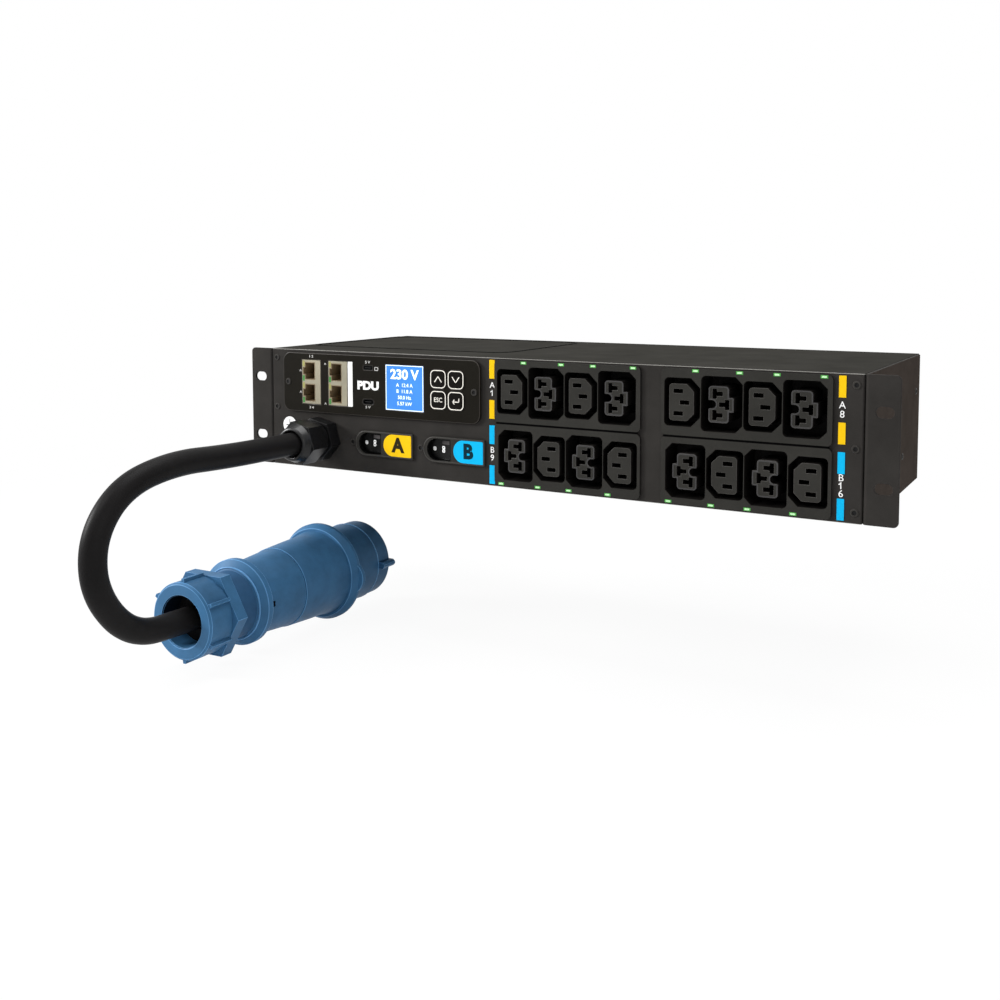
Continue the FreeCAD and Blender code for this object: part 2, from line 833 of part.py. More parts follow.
def key(label, x, z):
    """A key cap with the rim that keeps it behind the plate and the stem that works its switch."""
    owner = new_body(label, x, PLATE_FACE + " - key_proud", z)
    cap = sketch_in(owner)
    frame(cap, 0, 0, size("key_size"), size("key_size"), size("key_round"))
    pad(owner, cap, "key_proud + plate_thick + key_play")
    rim = sketch_in(owner, out="-(key_proud + plate_thick + key_play)")
    rectangle(rim, "key_rim", "key_rim")
    pad(owner, rim, "key_rim_thick")
    stem = sketch_in(owner, out="-(key_proud + plate_thick + key_play + key_rim_thick)")
    ring(stem, 0, 0, size("key_stem"))
    pad(owner, stem, "board_y - front_y + panel_thick - switch_high - key_travel_gap"
                     " - key_play - key_rim_thick")


def keys_and_board():
    """The four keys, their switches and the board behind the module."""
    places = (
        ("key_up", "key_left_x", "key_upper_z"),
        ("key_down", "key_right_x", "key_upper_z"),
        ("key_escape", "key_left_x", "key_lower_z"),
        ("key_enter", "key_right_x", "key_lower_z"),
    )
    for label, x, z in places:
        key(label, x, z)
    group("key_switches", [
        block("KeySwitch", x, "board_y - switch_high", z, "switch_size", "switch_high", "switch_size")
        for label, x, z in places])
    board = block("ControllerBoard", "plate_x", "board_y", "plate_z",
                  "board_width", "board_thick", "board_high")
    node(board, "controller_board")
    group("controller_screws", [
        screw("PlateScrew", "plate_x + %d * plate_screw_x" % step, PLATE_FACE, "plate_z", FRONT)
        for step in (-1, 1)])


# Circuit breakers


def breaker_outline(sketch, left, right, height, middle=0):
    """An outline with a round left end and a square right end."""
    half = height / 2
    outline(sketch, [
        (left, middle - half, half),
        (right, middle - half, size("bezel_end")),
        (right, middle + half, size("bezel_end")),
        (left, middle + half, half),
    ])


def breaker_bezel(label, x):
    """The surround: a rim on the panel and a sleeve through it, open where the rocker sits."""
    owner = new_body(label, x, PANEL_FACE + " - bezel_proud", "breaker_z")
    half = size("bezel_width") / 2
    rim = sketch_in(owner)
    breaker_outline(rim, -half, half, size("bezel_high"))
    pad(owner, rim, "bezel_proud")
    sleeve = sketch_in(owner, out="-bezel_proud")
    reach = size("sleeve_width") / 2
    breaker_outline(sleeve, -reach, reach, size("sleeve_high"))
    pad(owner, sleeve, "sleeve_deep")
    window = sketch_in(owner)
    breaker_outline(window, size("window_left"), size("window_right"), size("window_high"))
    pocket(owner, window, "2 * sleeve_deep")
    bearing = sketch_in(owner, "XY_Plane")
    ring(bearing, (size("window_left") + size("window_right")) / 2,
         size("rocker_sink") + size("rocker_thick") / 2, size("pivot_hole"))
    pocket(owner, bearing, "bezel_high", both=True)
    seat = sketch_in(owner)
    breaker_outline(seat, size("tag_left"), size("tag_right"), size("tag_high"))
    pocket(owner, seat, "tag_sink")


def breaker_tag(label, x):
    """The coloured plate that names the circuit, glued in its seat."""
    owner = new_body(label, x, PANEL_FACE + " - bezel_proud - tag_thick + tag_sink", "breaker_z")
    tag = sketch_in(owner)
    play = size("tag_play")
    breaker_outline(tag, size("tag_left") + play, size("tag_right") - play, size("tag_high") - 2 * play)
    pad(owner, tag, "tag_thick")


ROCKER_X = " + (window_left + window_right) / 2"
PIVOT_Y = PANEL_FACE + " - bezel_proud + rocker_sink + rocker_thick / 2"


def breaker_body(label, x):
    """The breaker behind the panel, hollowed where the rocker swings."""
    start = PANEL_FACE + " + sleeve_deep"
    case = block("BreakerCase", x, start, "breaker_z", "bezel_width", "breaker_deep", "breaker_high")
    hollow = block("BreakerHollow", x + ROCKER_X, start, "breaker_z",
                   "window_right - window_left", "cavity_deep", "window_high")
    node(cut("BreakerBody", case, hollow), label)


def breaker_rocker(label, x):
    """The dished rocker on its upright pin, at rest with its left half pressed in."""
    tilt = FreeCAD.Rotation(FreeCAD.Vector(0, 0, 1), -size("rocker_tilt"))
    owner = new_body(label, x + ROCKER_X, PIVOT_Y, "breaker_z", tilt)
    half = size("rocker_width") / 2
    front = -size("rocker_thick") / 2
    back = size("rocker_thick") / 2 - size("rocker_heel")
    soft = size("rocker_edge")
    profile = sketch_in(owner, "XY_Plane")
    outline(profile, [
        (-half, front, soft),
        (0, front + size("rocker_dish"), 0),
        (half, front, soft),
        (half, back, 0),
        (-half, back, 0),
    ])
    feature(owner, "Pad", profile, "rocker_high", both=True)
    waste = sketch_in(owner, out="rocker_thick")
    frame(waste, 0, 0, 2 * size("rocker_width"), 2 * size("rocker_high"), 0)
    breaker_outline(waste, -half, half, size("rocker_high"))
    pocket(owner, waste, "2 * rocker_thick")
    pin = sketch_in(owner, "XY_Plane")
    ring(pin, 0, 0, size("pivot_pin"))
    feature(owner, "Pad", pin, "2 * pivot_reach", both=True)


def breakers():
    """Breaker A and breaker B with their fixing screws."""
    for letter in "ab":
        x = "breaker_%s_x" % letter
        breaker_bezel("breaker_%s_bezel" % letter, x)
        breaker_tag("breaker_%s_tag" % letter, x)
        breaker_body("breaker_%s_body" % letter, x)
        breaker_rocker("breaker_%s_rocker" % letter, x)
    group("breaker_screws", [
        screw("BreakerScrew", "breaker_%s_x + breaker_screw_left" % letter, PANEL_FACE, "breaker_z", FRONT)
        for letter in "ab"])


# Outlet blocks

SOCKET_KINDS = ("small", "large")


def keyed(sketch, x, width, height, cut_size, rounding):
    """A socket outline: round corners on the left, slanted corners on the earth side."""
    half_x = width / 2
    half_z = height / 2
    outline(sketch, [
        (x - half_x, -half_z, rounding),
        (x + half_x - cut_size, -half_z, 0),
        (x + half_x, -half_z + cut_size, 0),
        (x + half_x, half_z - cut_size, 0),
        (x + half_x - cut_size, half_z, 0),
        (x - half_x, half_z, rounding),
    ])


def clover(sketch, x):
    """The boss of a large socket: two lobes, an earth lobe and the notch opposite it."""
    soft = size("boss_round")
    edge = size("boss_edge")
    left = x + size("large_lobe_left")
    right = x + size("large_lobe_right")
    earth = x + size("large_earth_right")
    notch = x + size("large_notch_right")
    top = size("large_half_high")
    arm = size("large_earth_half")
    gap = size("large_notch_half")
    outline(sketch, [
        (left, -top, soft),
        (right, -top, soft),
        (right, -arm, 0),
        (earth, -arm, edge),
        (earth, arm, edge),
        (right, arm, 0),
        (right, top, soft),
        (left, top, soft),
        (left, gap, edge),
        (notch, gap, gap),
        (notch, -gap, gap),
        (left, -gap, edge),
    ])


def tee(sketch, x, z, way):
    """A T-shaped slot: an upright bar with a stem towards one side."""
    half = size("slot_blade_long") / 2
    thick = size("slot_blade_thick") / 2
    reach = thick + size("tee_stem")
    outline(sketch, [
        (x - way * thick, z - half, 0),
        (x - way * thick, z + half, 0),
        (x + way * thick, z + half, 0),
        (x + way * thick, z + thick, 0),
        (x + way * reach, z + thick, 0),
        (x + way * reach, z - thick, 0),
        (x + way * thick, z - thick, 0),
        (x + way * thick, z - half, 0),
    ])


def socket_places():
    """The middle of each socket along a block, small and large in turn."""
    return [size("socket_first") + step * size("socket_pitch") for step in range(4)]


def lamp_places():
    """The middle of each socket's lamp along a block."""
    shifts = (size("lamp_small_shift"), size("lamp_large_shift"))
    return [x + shifts[index % 2] for index, x in enumerate(socket_places())]


def outlet_block(label, x, z, turn):
    """A moulded block of four sockets, with its flange on the panel and its neck through it."""
    owner = new_body(label, x, PANEL_FACE + " - block_proud", z, turn)
    face = sketch_in(owner)
    frame(face, 0, 0, size("block_width"), size("block_high"), size("block_round"))
    pad(owner, face, "block_proud")
    neck = sketch_in(owner, out="-block_proud")
    frame(neck, 0, 0, size("neck_width"), size("neck_high"), size("neck_round"))
    pad(owner, neck, "neck_deep")
    small = socket_places()[0::2]
    large = socket_places()[1::2]
    small_rings = sketch_in(owner)
    for middle in small:
        keyed(small_rings, middle, size("small_width"), size("small_high"),
              size("small_cut"), size("socket_round"))
        keyed(small_rings, middle, size("small_boss_width"), size("small_boss_high"),
              size("small_boss_cut"), size("boss_round"))
    pocket(owner, small_rings, "small_deep")
    large_rings = sketch_in(owner)
    for middle in large:
        keyed(large_rings, middle, size("large_width"), size("large_high"),
              size("large_cut"), size("socket_round"))
        clover(large_rings, middle)
    pocket(owner, large_rings, "large_deep")
    bosses = sketch_in(owner)
    for middle in small:
        keyed(bosses, middle, size("small_boss_width"), size("small_boss_high"),
              size("small_boss_cut"), size("boss_round"))
    for middle in large:
        clover(bosses, middle)
    feature(owner, "Pad", bosses, "boss_proud")
    slots = sketch_in(owner, out="boss_proud")
    blade = (size("slot_blade_long"), size("slot_blade_thick"))
    for middle in small:
        for z_slot in (-size("small_slot_z"), size("small_slot_z")):
            frame(slots, middle + size("small_slot_x"), z_slot, blade[0], blade[1], 0)
        frame(slots, middle + size("small_earth_x"), 0, blade[0], blade[1], 0)
    for middle in large:
        for z_slot in (-size("large_slot_z"), size("large_slot_z")):
            tee(slots, middle + size("large_slot_x"), z_slot, 1)
        tee(slots, middle + size("large_earth_x"), 0, -1)
    pocket(owner, slots, "2 * neck_deep")
    lamps = sketch_in(owner)
    for middle in lamp_places():
        frame(lamps, middle, size("lamp_z"), size("lamp_width"), size("lamp_high"), 0)
    pocket(owner, lamps, "lamp_deep")


def contacts_of(x, z, way):
    """The brass contacts of one block, each behind its slot and soldered to the board."""
    start = PANEL_FACE + " - block_proud + contact_sink"
    deep = "block_proud + neck_deep - contact_sink"
    long_side = "slot_blade_long - contact_play"
    thin_side = "slot_blade_thick - contact_play"
    pieces = []
    for step in range(4):
        middle = "(socket_first + %d * socket_pitch)" % step
        kind = SOCKET_KINDS[step % 2]
        wide, high = (long_side, thin_side) if kind == "small" else (thin_side, long_side)
        live = kind + "_slot_x"
        up_live = kind + "_slot_z"
        for across, up in ((live, up_live), (live, "-" + up_live), (kind + "_earth_x", "0")):
            pieces.append(block("Contact", "%s + %d * (%s + %s)" % (x, way, middle, across), start,
                                "%s + %d * (%s)" % (z, way, up), wide, deep, high))
    return pieces


def outlets():
    """The four blocks with their contacts, lamps, boards and relays."""
    half_turn = FreeCAD.Rotation(FreeCAD.Vector(0, 1, 0), 180)
    rows = (("upper", "row_z", 1, FreeCAD.Rotation()), ("lower", "-row_z", -1, half_turn))
    contacts = []
    lamps = []
    relays = []
    board_y = PANEL_FACE + " + neck_deep"
    for side in ("left", "right"):
        x = "column_%s_x" % side
        for row, z, way, turn in rows:
            outlet_block("outlet_block_%s_%s" % (row, side), x, z, turn)
            contacts += contacts_of(x, z, way)
            for step in range(4):
                middle = "(socket_first + %d * socket_pitch)" % step
                shift = "lamp_%s_shift" % SOCKET_KINDS[step % 2]
                lamps.append(block("Lamp", "%s + %d * (%s + %s)" % (x, way, middle, shift),
                                   PANEL_FACE + " - block_proud", "%s + %d * lamp_z" % (z, way),
                                   "lamp_width - lamp_play", "lamp_deep", "lamp_high - lamp_play"))
                relays.append(block("Relay", "%s + %d * %s" % (x, way, middle), board_y + " + board_thick", z,
                                    "relay_width", "relay_deep", "relay_high"))
        board = block("OutletBoard", x, board_y, "0",
                      "outlet_board_width", "board_thick", "outlet_board_high")
        node(board, "outlet_board_" + side)
    group("outlet_contacts", contacts)
    group("outlet_lamps", lamps)
    group("outlet_relays", relays)


def markers():
    """The yellow and blue strips at both ends of the outlet rows, and the white earth disc."""
    for label, sign in (("yellow_markers", ""), ("blue_markers", "-")):
        strips = []
        for x in ("marker_left_x", "marker_right_x"):
            for z in ("marker_outer_z", "marker_inner_z"):
                strips.append(block("Strip", x, PANEL_FACE + " - marker_thick", sign + z,
                                    "marker_width", "marker_thick", "marker_high"))
        group(label, strips)
    disc = rod("EarthDisc", "earth_x", PANEL_FACE, "earth_z", "earth_disc", "earth_thick", FRONT)
    node(disc, "earth_disc")


# Cable gland


def gland():
    """The gland: body through the panel, lock nut behind it, rubber seal and domed clamping nut."""
    owner = new_body("gland_body", "gland_x", PANEL_FACE, "gland_z")
    bore = size("gland_bore")
    nose = size("gland_nose_radius")
    shank = size("gland_shank")
    hex_long = size("gland_hex_long")
    turned(owner, [
        (bore, -size("gland_nose"), 0),
        (nose, -size("gland_nose"), 0),
        (nose, -hex_long / 2, 0),
        (shank, -hex_long / 2, 0),
        (shank, size("gland_shank_long"), 0),
        (bore, size("gland_shank_long"), 0),
    ])
    grip = sketch_in(owner, out="gland_hex_long")
    hexagon(grip, size("gland_flats"), size("gland_turn"))
    ring(grip, 0, 0, (bore + nose) / 2)
    pad(owner, grip, "gland_hex_long")
    lock = new_body("gland_locknut", "gland_x", PANEL_FACE + " + panel_thick", "gland_z")
    sides = sketch_in(lock)
    hexagon(sides, size("locknut_flats"), size("locknut_turn"))
    ring(sides, 0, 0, shank + size("close_fit"))
    pad(lock, sides, "locknut_thick")
    seal = new_body("gland_seal", "gland_x", PANEL_FACE, "gland_z")
    grip_radius = size("cord_diameter") / 2 + size("cord_play")
    wide = size("nut_bore") - size("seal_gap")
    tip = size("seal_play") - size("nut_bore_end")
    heel = -size("gland_nose") - size("seal_play")
    turned(seal, [
        (grip_radius, tip, 0),
        (size("nut_mouth"), tip, 0),
        (wide, size("seal_cone") - size("nut_bore_end"), 0),
        (wide, heel, 0),
        (grip_radius, heel, 0),
    ])
    nut = new_body("gland_dome_nut", "gland_x", PANEL_FACE, "gland_z")
    turned(nut, [
        (size("nut_mouth"), -size("nut_front"), -size("nut_mouth_bevel")),
        (size("nut_front_radius"), -size("nut_front"), size("nut_dome_round")),
        (size("gland_flats") / 2, -size("nut_hex_front"), 0),
        (size("nut_skirt_radius"), -size("nut_hex_back"), 0),
        (size("nut_skirt_radius"), -size("nut_back"), 0),
        (size("nut_bore"), -size("nut_back"), 0),
        (size("nut_bore"), size("nut_cone") - size("nut_bore_end"), 0),
        (size("nut_mouth"), -size("nut_bore_end"), 0),
    ])
    flats = sketch_in(nut, out="nut_hex_front")
    hexagon(flats, size("gland_flats"), size("gland_turn"))
    ring(flats, 0, 0, (size("nut_bore") + size("nut_skirt_radius")) / 2)
    pad(nut, flats, "nut_hex_front - nut_hex_back")


# Cord

CORD_ROUTE = [
    (-172.5, -18.0, -21.2),
    (-172.5, -61.0, -21.0),
    (-172.8, -106.3, -20.3),
    (-173.2, -151.5, -17.8),
    (-173.8, -192.4, -26.2),
    (-174.4, -215.0, -53.0),
    (-175.0, -213.0, -88.5),
    (-175.6, -184.4, -120.4),
    (-176.1, -141.7, -122.1),
    (-176.3, -114.6, -122.4),
]
CORNER_SHARE = 0.45


def power_cord():
    """The supply cord: straight runs joined by tangent arcs, from the gland round to the plug."""
    route = [FreeCAD.Vector(*point) for point in CORD_ROUTE]
    edges = []
    start = route[0]
    for before, corner, after in zip(route, route[1:], route[2:]):
        back = before - corner
        ahead = after - corner
        reach = CORNER_SHARE * min(back.Length, ahead.Length)
        back.normalize()
        ahead.normalize()
        half = back.getAngle(ahead) / 2
        radius = reach * math.tan(half)
        middle = corner + (back + ahead).normalize() * (radius / math.sin(half) - radius)
        print("cord bend radius %.1f mm" % radius)
        edges.append(Part.LineSegment(start, corner + back * reach).toShape())
        edges.append(Part.Arc(corner + back * reach, middle, corner + ahead * reach).toShape())
        start = corner + ahead * reach
    edges.append(Part.LineSegment(start, route[-1]).toShape())
    length = sum(edge.Length for edge in edges)
    path = Part.Wire(edges)
    section = Part.Circle(route[0], route[1] - route[0], size("cord_diameter") / 2)
    tube = path.makePipeShell([Part.Wire(section.toShape())], True, False)
    expected = math.pi * size("cord_diameter") ** 2 / 4 * length
    print("cord length %.1f mm, volume over section times length %.4f" % (length, tube.Volume / expected))
    piece = doc.addObject("Part::Feature", "power_cord")
    piece.Shape = tube
    piece.Placement = FreeCAD.Placement()
    node(piece, "power_cord")


# Plug


def plug_body(label):
    """A body on the plug's axis, which starts at the cable end and runs back."""
    return new_body(label, "plug_x", "plug_y", "plug_z")


def plug_cable_nut():
    """The clamping nut: a wide mouth, six narrow grip ribs and a hexagon at its back end."""
    owner = plug_body("plug_cable_nut")
    bevel = size("cable_nut_bevel")
    outer = size("cable_nut_radius")
    mouth = size("cable_nut_mouth")
    thread = size("cable_nut_thread")
    turned(owner, [
        (mouth, 0, -bevel / 2),
        (outer, 0, -bevel),
        (outer, size("grip_end"), 0),
        (thread, size("grip_end"), 0),
        (thread, size("thread_start"), 0),
        (mouth, size("thread_start"), 0),
    ])
    flats = sketch_in(owner, out="-grip_start")
    hexagon(flats, size("grip_flats"), size("grip_turn"))
    ring(flats, 0, 0, (thread + outer) / 2)
    pad(owner, flats, "grip_end - grip_start")
    rib = sketch_in(owner, out="-rib_start")
    turn = math.radians(size("grip_turn"))
    across = (math.cos(turn), math.sin(turn))
    root = size("rib_root") / 2
    crest = size("rib_crest") / 2
    low = outer - size("rib_sink")
    high = size("rib_reach")
    corners = []
    for radial, sideways in ((low, -root), (high, -crest), (high, crest), (low, root)):
        x = radial * across[0] - sideways * across[1]
        z = radial * across[1] + sideways * across[0]
        corners.append((x, z, 0))
    outline(rib, corners)
    first = pad(owner, rib, "grip_start - rib_start")
    pattern = owner.newObject("PartDesign::PolarPattern", "Ribs")
    pattern.Originals = [first]
    pattern.Axis = (next(part for part in owner.Origin.OriginFeatures if part.Role == "Y_Axis"), [""])
    pattern.Angle = 360
    pattern.setExpression("Occurrences", bound("rib_count"))
    owner.Tip = pattern


def plug_grommet():
    """The rubber ring that grips the cord inside the nut."""
    owner = plug_body("plug_grommet")
    inner = size("cord_diameter") / 2 + size("grommet_gap")
    outer = size("cable_nut_mouth") - size("grommet_fit")
    turned(owner, [
        (inner, size("grommet_start"), 0),
        (outer, size("grommet_start"), 0),
        (outer, size("grommet_end"), 0),
        (inner, size("grommet_end"), 0),
    ])


def plug_rear_shell():
    """The rear half: threaded nose, neck, sloping collar and the first part of the barrel."""
    owner = plug_body("plug_rear_shell")
    wall = size("shell_wall")
    bore = size("cable_nut_mouth")
    neck = size("neck_radius")
    nose = size("cable_nut_thread") - size("thread_play")
    shoulder = size("grip_end") + size("thread_play")
    end = size("parting") - size("parting_line") / 2
    turned(owner, [
        (bore, size("thread_start") + size("thread_play"), 0),
        (nose, size("thread_start") + size("thread_play"), 0),
        (nose, shoulder, 0),
        (neck, shoulder, 0),
        (neck, size("collar_start"), 0),
        (size("collar_radius"), size("collar_slope_end"), 0),
        (size("collar_radius"), size("collar_end"), 0),
        (size("barrel_start_radius"), size("collar_foot"), 0),
        (size("rear_end_radius"), end, 0),
        (size("rear_end_radius") - wall, end, 0),
        (size("barrel_start_radius") - wall, size("collar_end"), 0),
        (neck - wall, size("neck_wall"), 0),
        (bore, size("neck_wall"), 0),
    ])
    hole = sketch_in(owner, "YZ_Plane")
    ring(hole, size("drain_y"), 0, size("drain_hole"))
    feature(owner, "Pocket", hole, "collar_radius", backwards=True)


def plug_front_shell():
    """The front half: the swelling barrel and the flange with its lug."""
    owner = plug_body("plug_front_shell")
    start = size("parting") + size("parting_line") / 2
    bevel = size("flange_bevel")
    turned(owner, [
        (size("front_start_radius") - size("shell_wall"), start, 0),
        (size("front_start_radius"), start, 0),
        (size("barrel_swell_radius"), size("barrel_swell"), 0),
        (size("flare_start_radius"), size("flare_start"), 0),
        (size("flare_end_radius"), size("flange_start"), 0),
        (size("flange_face_radius"), size("flange_start"), 0),
        (size("flange_radius"), size("flange_rim"), 0),
        (size("flange_radius"), size("flange_end"), -bevel),
        (size("shroud_bore"), size("flange_end"), 0),
        (size("shroud_bore"), size("flange_start"), 0),
    ])
    lug = sketch_in(owner, out="-flange_rim")
    turn = math.radians(size("flange_lug_turn"))
    middle = size("flange_lug_middle")
    ring(lug, middle * math.cos(turn), middle * math.sin(turn), size("flange_lug_radius"))
    pad(owner, lug, "flange_end - flange_rim")
    bore = sketch_in(owner, out="-flange_rim")
    ring(bore, 0, 0, size("shroud_bore"))
    pocket(owner, bore, "2 * (flange_end - flange_rim)")


def plug_shroud():
    """The open sleeve round the pins, with a step near its end and the key rib."""
    owner = plug_body("plug_shroud")
    slim = size("shroud_radius") - size("shroud_ring_step")
    bevel = size("shroud_bevel")
    turned(owner, [
        (size("shroud_bore"), size("flange_end"), 0),
        (size("shroud_radius"), size("flange_end"), 0),
        (size("shroud_radius"), size("shroud_ring"), 0),
        (slim, size("shroud_ring") + size("shroud_ring_step"), 0),
        (slim, size("shroud_end"), -bevel),
        (size("shroud_bore"), size("shroud_end"), -bevel),
    ])
    rib = sketch_in(owner, out="-(shroud_end - key_rib_long)")
    root = size("shroud_bore") + bevel
    wide = size("key_rib_width")
    reach = size("key_rib_reach")
    outline(rib, [
        (root, -wide / 2, 0),
        (reach, -wide / 2, -wide / 3),
        (reach, wide / 2, -wide / 3),
        (root, wide / 2, 0),
    ])
    pad(owner, rib, "key_rib_long")


PIN_ANGLES = (-90, 30, 150)


def plug_pins():
    """The pin carrier inside the shroud and the three contact pins."""
    carrier = plug_body("plug_pin_carrier")
    face = sketch_in(carrier, out="-flange_start")
    ring(face, 0, 0, size("shroud_bore") - size("close_fit"))
    kinds = ("earth_pin_radius", "pin_radius", "pin_radius")
    pins = []
    for angle, kind in zip(PIN_ANGLES, kinds):
        x = size("pin_circle") * math.cos(math.radians(angle))
        z = size("pin_circle") * math.sin(math.radians(angle))
        ring(face, x, z, size(kind) + size("close_fit"))
        pins.append(rod("Pin", "plug_x + %.4f" % x, "plug_y + flange_start - pin_tail", "plug_z + %.4f" % z,
                        kind, "pin_end - flange_start + pin_tail"))
    pad(carrier, face, "shroud_floor - flange_start")
    group("plug_contact_pins", pins)


# Wiring parts behind the panel

CORE_ANGLES = (90, 210, 330)


def wiring():
    """The input terminal block, the cord's three cores and the controller's power supply."""
    terminal = block("TerminalBlock", "gland_x", "terminal_y", "gland_z", "terminal_width",
                     "terminal_deep", "terminal_high")
    node(terminal, "input_terminal_block")
    cores = []
    for angle in CORE_ANGLES:
        x = "gland_x + core_spread * %.4f" % math.cos(math.radians(angle))
        z = "gland_z + core_spread * %.4f" % math.sin(math.radians(angle))
        start = PANEL_FACE + " - gland_nose + seal_play"
        cores.append(rod("Core", x, start, z, "core_radius", "terminal_y - (%s)" % start))
    group("input_cores", cores)
    floor = "-unit_height / 2 + sheet + supply_lift"
    board = doc.addObject("Part::Box", "SupplyBoard")
    for side, text in (("Length", "supply_width"), ("Width", "supply_depth"), ("Height", "board_thick")):
        board.setExpression(side, bound(text))
    place(board, "supply_x - supply_width / 2", "supply_y", floor)
    posts = []
    for x in ("supply_x - supply_width / 2 + post_inset", "supply_x + supply_width / 2 - post_inset"):
        for y in ("supply_y + post_inset", "supply_y + supply_depth - post_inset"):
            posts.append(rod("Post", x, y, "-unit_height / 2 + sheet", "2 * screw_shank", "supply_lift", UP))
    node(joined("PowerSupply", [board] + posts), "power_supply_board")
    transformer = doc.addObject("Part::Box", "Transformer")
    for side, text in (("Length", "transformer_width"), ("Width", "transformer_width"),
                       ("Height", "transformer_high")):
        transformer.setExpression(side, bound(text))
    place(transformer, "supply_x - transformer_width / 2", "supply_y + supply_depth / 4",
          floor + " + board_thick")
    node(transformer, "supply_transformer")


chassis_tray()
top_cover()
front_panel()
rack_ear("left_ear", -1)
rack_ear("right_ear", 1)
enclosure_screws()
controller_faceplate()
network_jacks()
usb_ports()
display()
keys_and_board()
breakers()
outlets()
markers()
gland()
power_cord()
plug_cable_nut()
plug_grommet()
plug_rear_shell()
plug_front_shell()
plug_shroud()
plug_pins()
wiring()
doc.recompute()

failed = [piece.Name for piece in doc.Objects if "Invalid" in piece.State or "Error" in piece.State]
if failed:
    raise RuntimeError("these objects failed: " + ", ".join(failed))
for piece in NODES:
    if piece.Shape.isNull() or not piece.Shape.isValid():
        raise RuntimeError(piece.Label + " has no valid shape")
for piece in NODES:
    piece.Shape.exportStep("parts/%s.step" % piece.Label)
print("%d sub-parts written" % len(NODES))
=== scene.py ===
import bmesh
import bpy
import json
import math
from mathutils import Matrix, Vector


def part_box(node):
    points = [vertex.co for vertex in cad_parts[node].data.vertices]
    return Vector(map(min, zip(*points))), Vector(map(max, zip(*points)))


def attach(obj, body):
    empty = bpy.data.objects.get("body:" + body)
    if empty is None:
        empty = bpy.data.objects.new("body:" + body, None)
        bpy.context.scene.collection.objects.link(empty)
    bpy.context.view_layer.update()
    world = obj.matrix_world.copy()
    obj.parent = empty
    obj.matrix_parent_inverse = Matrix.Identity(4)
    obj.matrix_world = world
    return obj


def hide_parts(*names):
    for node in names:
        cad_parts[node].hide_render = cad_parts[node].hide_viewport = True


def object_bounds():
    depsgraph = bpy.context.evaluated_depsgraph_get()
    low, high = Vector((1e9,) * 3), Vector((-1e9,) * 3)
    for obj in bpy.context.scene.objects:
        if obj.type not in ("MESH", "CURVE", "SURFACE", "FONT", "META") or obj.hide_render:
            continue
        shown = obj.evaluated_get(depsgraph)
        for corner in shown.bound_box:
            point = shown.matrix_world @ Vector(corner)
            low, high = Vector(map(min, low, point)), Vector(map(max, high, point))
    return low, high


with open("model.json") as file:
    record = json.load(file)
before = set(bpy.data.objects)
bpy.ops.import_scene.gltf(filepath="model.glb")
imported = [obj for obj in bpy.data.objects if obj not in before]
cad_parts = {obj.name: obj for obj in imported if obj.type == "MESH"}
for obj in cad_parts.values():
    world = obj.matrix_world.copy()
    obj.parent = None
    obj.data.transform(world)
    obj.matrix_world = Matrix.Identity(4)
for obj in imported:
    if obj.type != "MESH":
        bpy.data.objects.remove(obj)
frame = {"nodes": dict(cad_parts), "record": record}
cad_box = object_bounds()
scene = bpy.context.scene
scene.view_settings.view_transform = "Standard"

slot_of_node = {entry["node"]: entry["material_slot"] for entry in frame["record"]["subparts"]}
body_of_node = {}
for body_name, members in frame["record"]["behaviour"]["bodies"].items():
    for member in members:
        body_of_node[member] = body_name
pivot_of_body = {joint["child"]: Vector(joint["pos_m"])
                 for joint in frame["record"]["behaviour"]["joints"] if joint["type"] == "hinge"}

# Faces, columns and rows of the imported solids

# One millimetre in metres, by which lengths written in millimetres are scaled
MM = 0.001


def mm(*lengths):
    """Millimetres as metres."""
    return tuple(length * MM for length in lengths)


def low(node):
    """The lowest corner of a solid."""
    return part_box(node)[0]


def high(node):
    """The highest corner of a solid."""
    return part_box(node)[1]


def middle(node):
    """The middle of a solid."""
    return (low(node) + high(node)) / 2


PANEL_FACE = low("front_panel").y
DISC_FACE = low("earth_disc").y
PLATE_FACE = low("controller_faceplate").y
SCREEN_FACE = low("display").y
KEY_FACE = low("key_up").y
BEZEL_FACE = low("breaker_a_bezel").y
TAG_FACE = low("breaker_a_tag").y
BLOCK_FACE = low("outlet_lamps").y
BOSS_FACE = low("outlet_block_upper_left").y
LID_TOP = high("top_cover").z
LID_REAR = high("top_cover").y
FLOOR_GAP = 0.4 * MM
FLOOR = cad_box[0].z - FLOOR_GAP
MODULE_ROW = middle("display").z
BREAKER_ROW = middle("breaker_a_bezel").z
SOCKET_ROW = 21.7 * MM
OUTLET_COLUMNS = [middle("outlet_block_upper_" + side).x for side in ("left", "right")]
PLUG_AXIS = middle("plug_cable_nut")
PLUG_AXIS.y = low("plug_cable_nut").y
INK = 0.06 * MM


# Camera, light and floor

CAMERA_PLACE = (0.361077, -0.668295, 0.105082)
CAMERA_PITCH = -0.0722
CAMERA_TURN = 0.4999
CAMERA_LENS = 40.9598
CAMERA_SHIFT = (-0.0239, -0.15)
CAMERA_SENSOR = 36.0
CAMERA_NEAR = 0.01
LAMPS = {
    "key_lamp": dict(place=(-1.8, -0.9, 0.65), target=(0.0, 0.0, -0.02), power=47.0, size=(0.5, 0.6)),
    "front_lamp": dict(place=(-0.7, -1.1, 1.6), target=(-0.17, -0.05, -0.12), power=12.0, size=(0.6, 0.6)),
    "side_lamp": dict(place=(1.4, -0.9, 0.5), target=(0.1, 0.0, 0.0), power=3.0, size=(0.9, 0.9)),
    "top_lamp": dict(place=(0.0, 0.2, 1.5), target=(0.0, 0.0, 0.0), power=25.0, size=(1.4, 1.0)),
}
FILL_COLOUR = (0.92, 0.95, 1.0, 1.0)
FILL_STRENGTH = 0.22
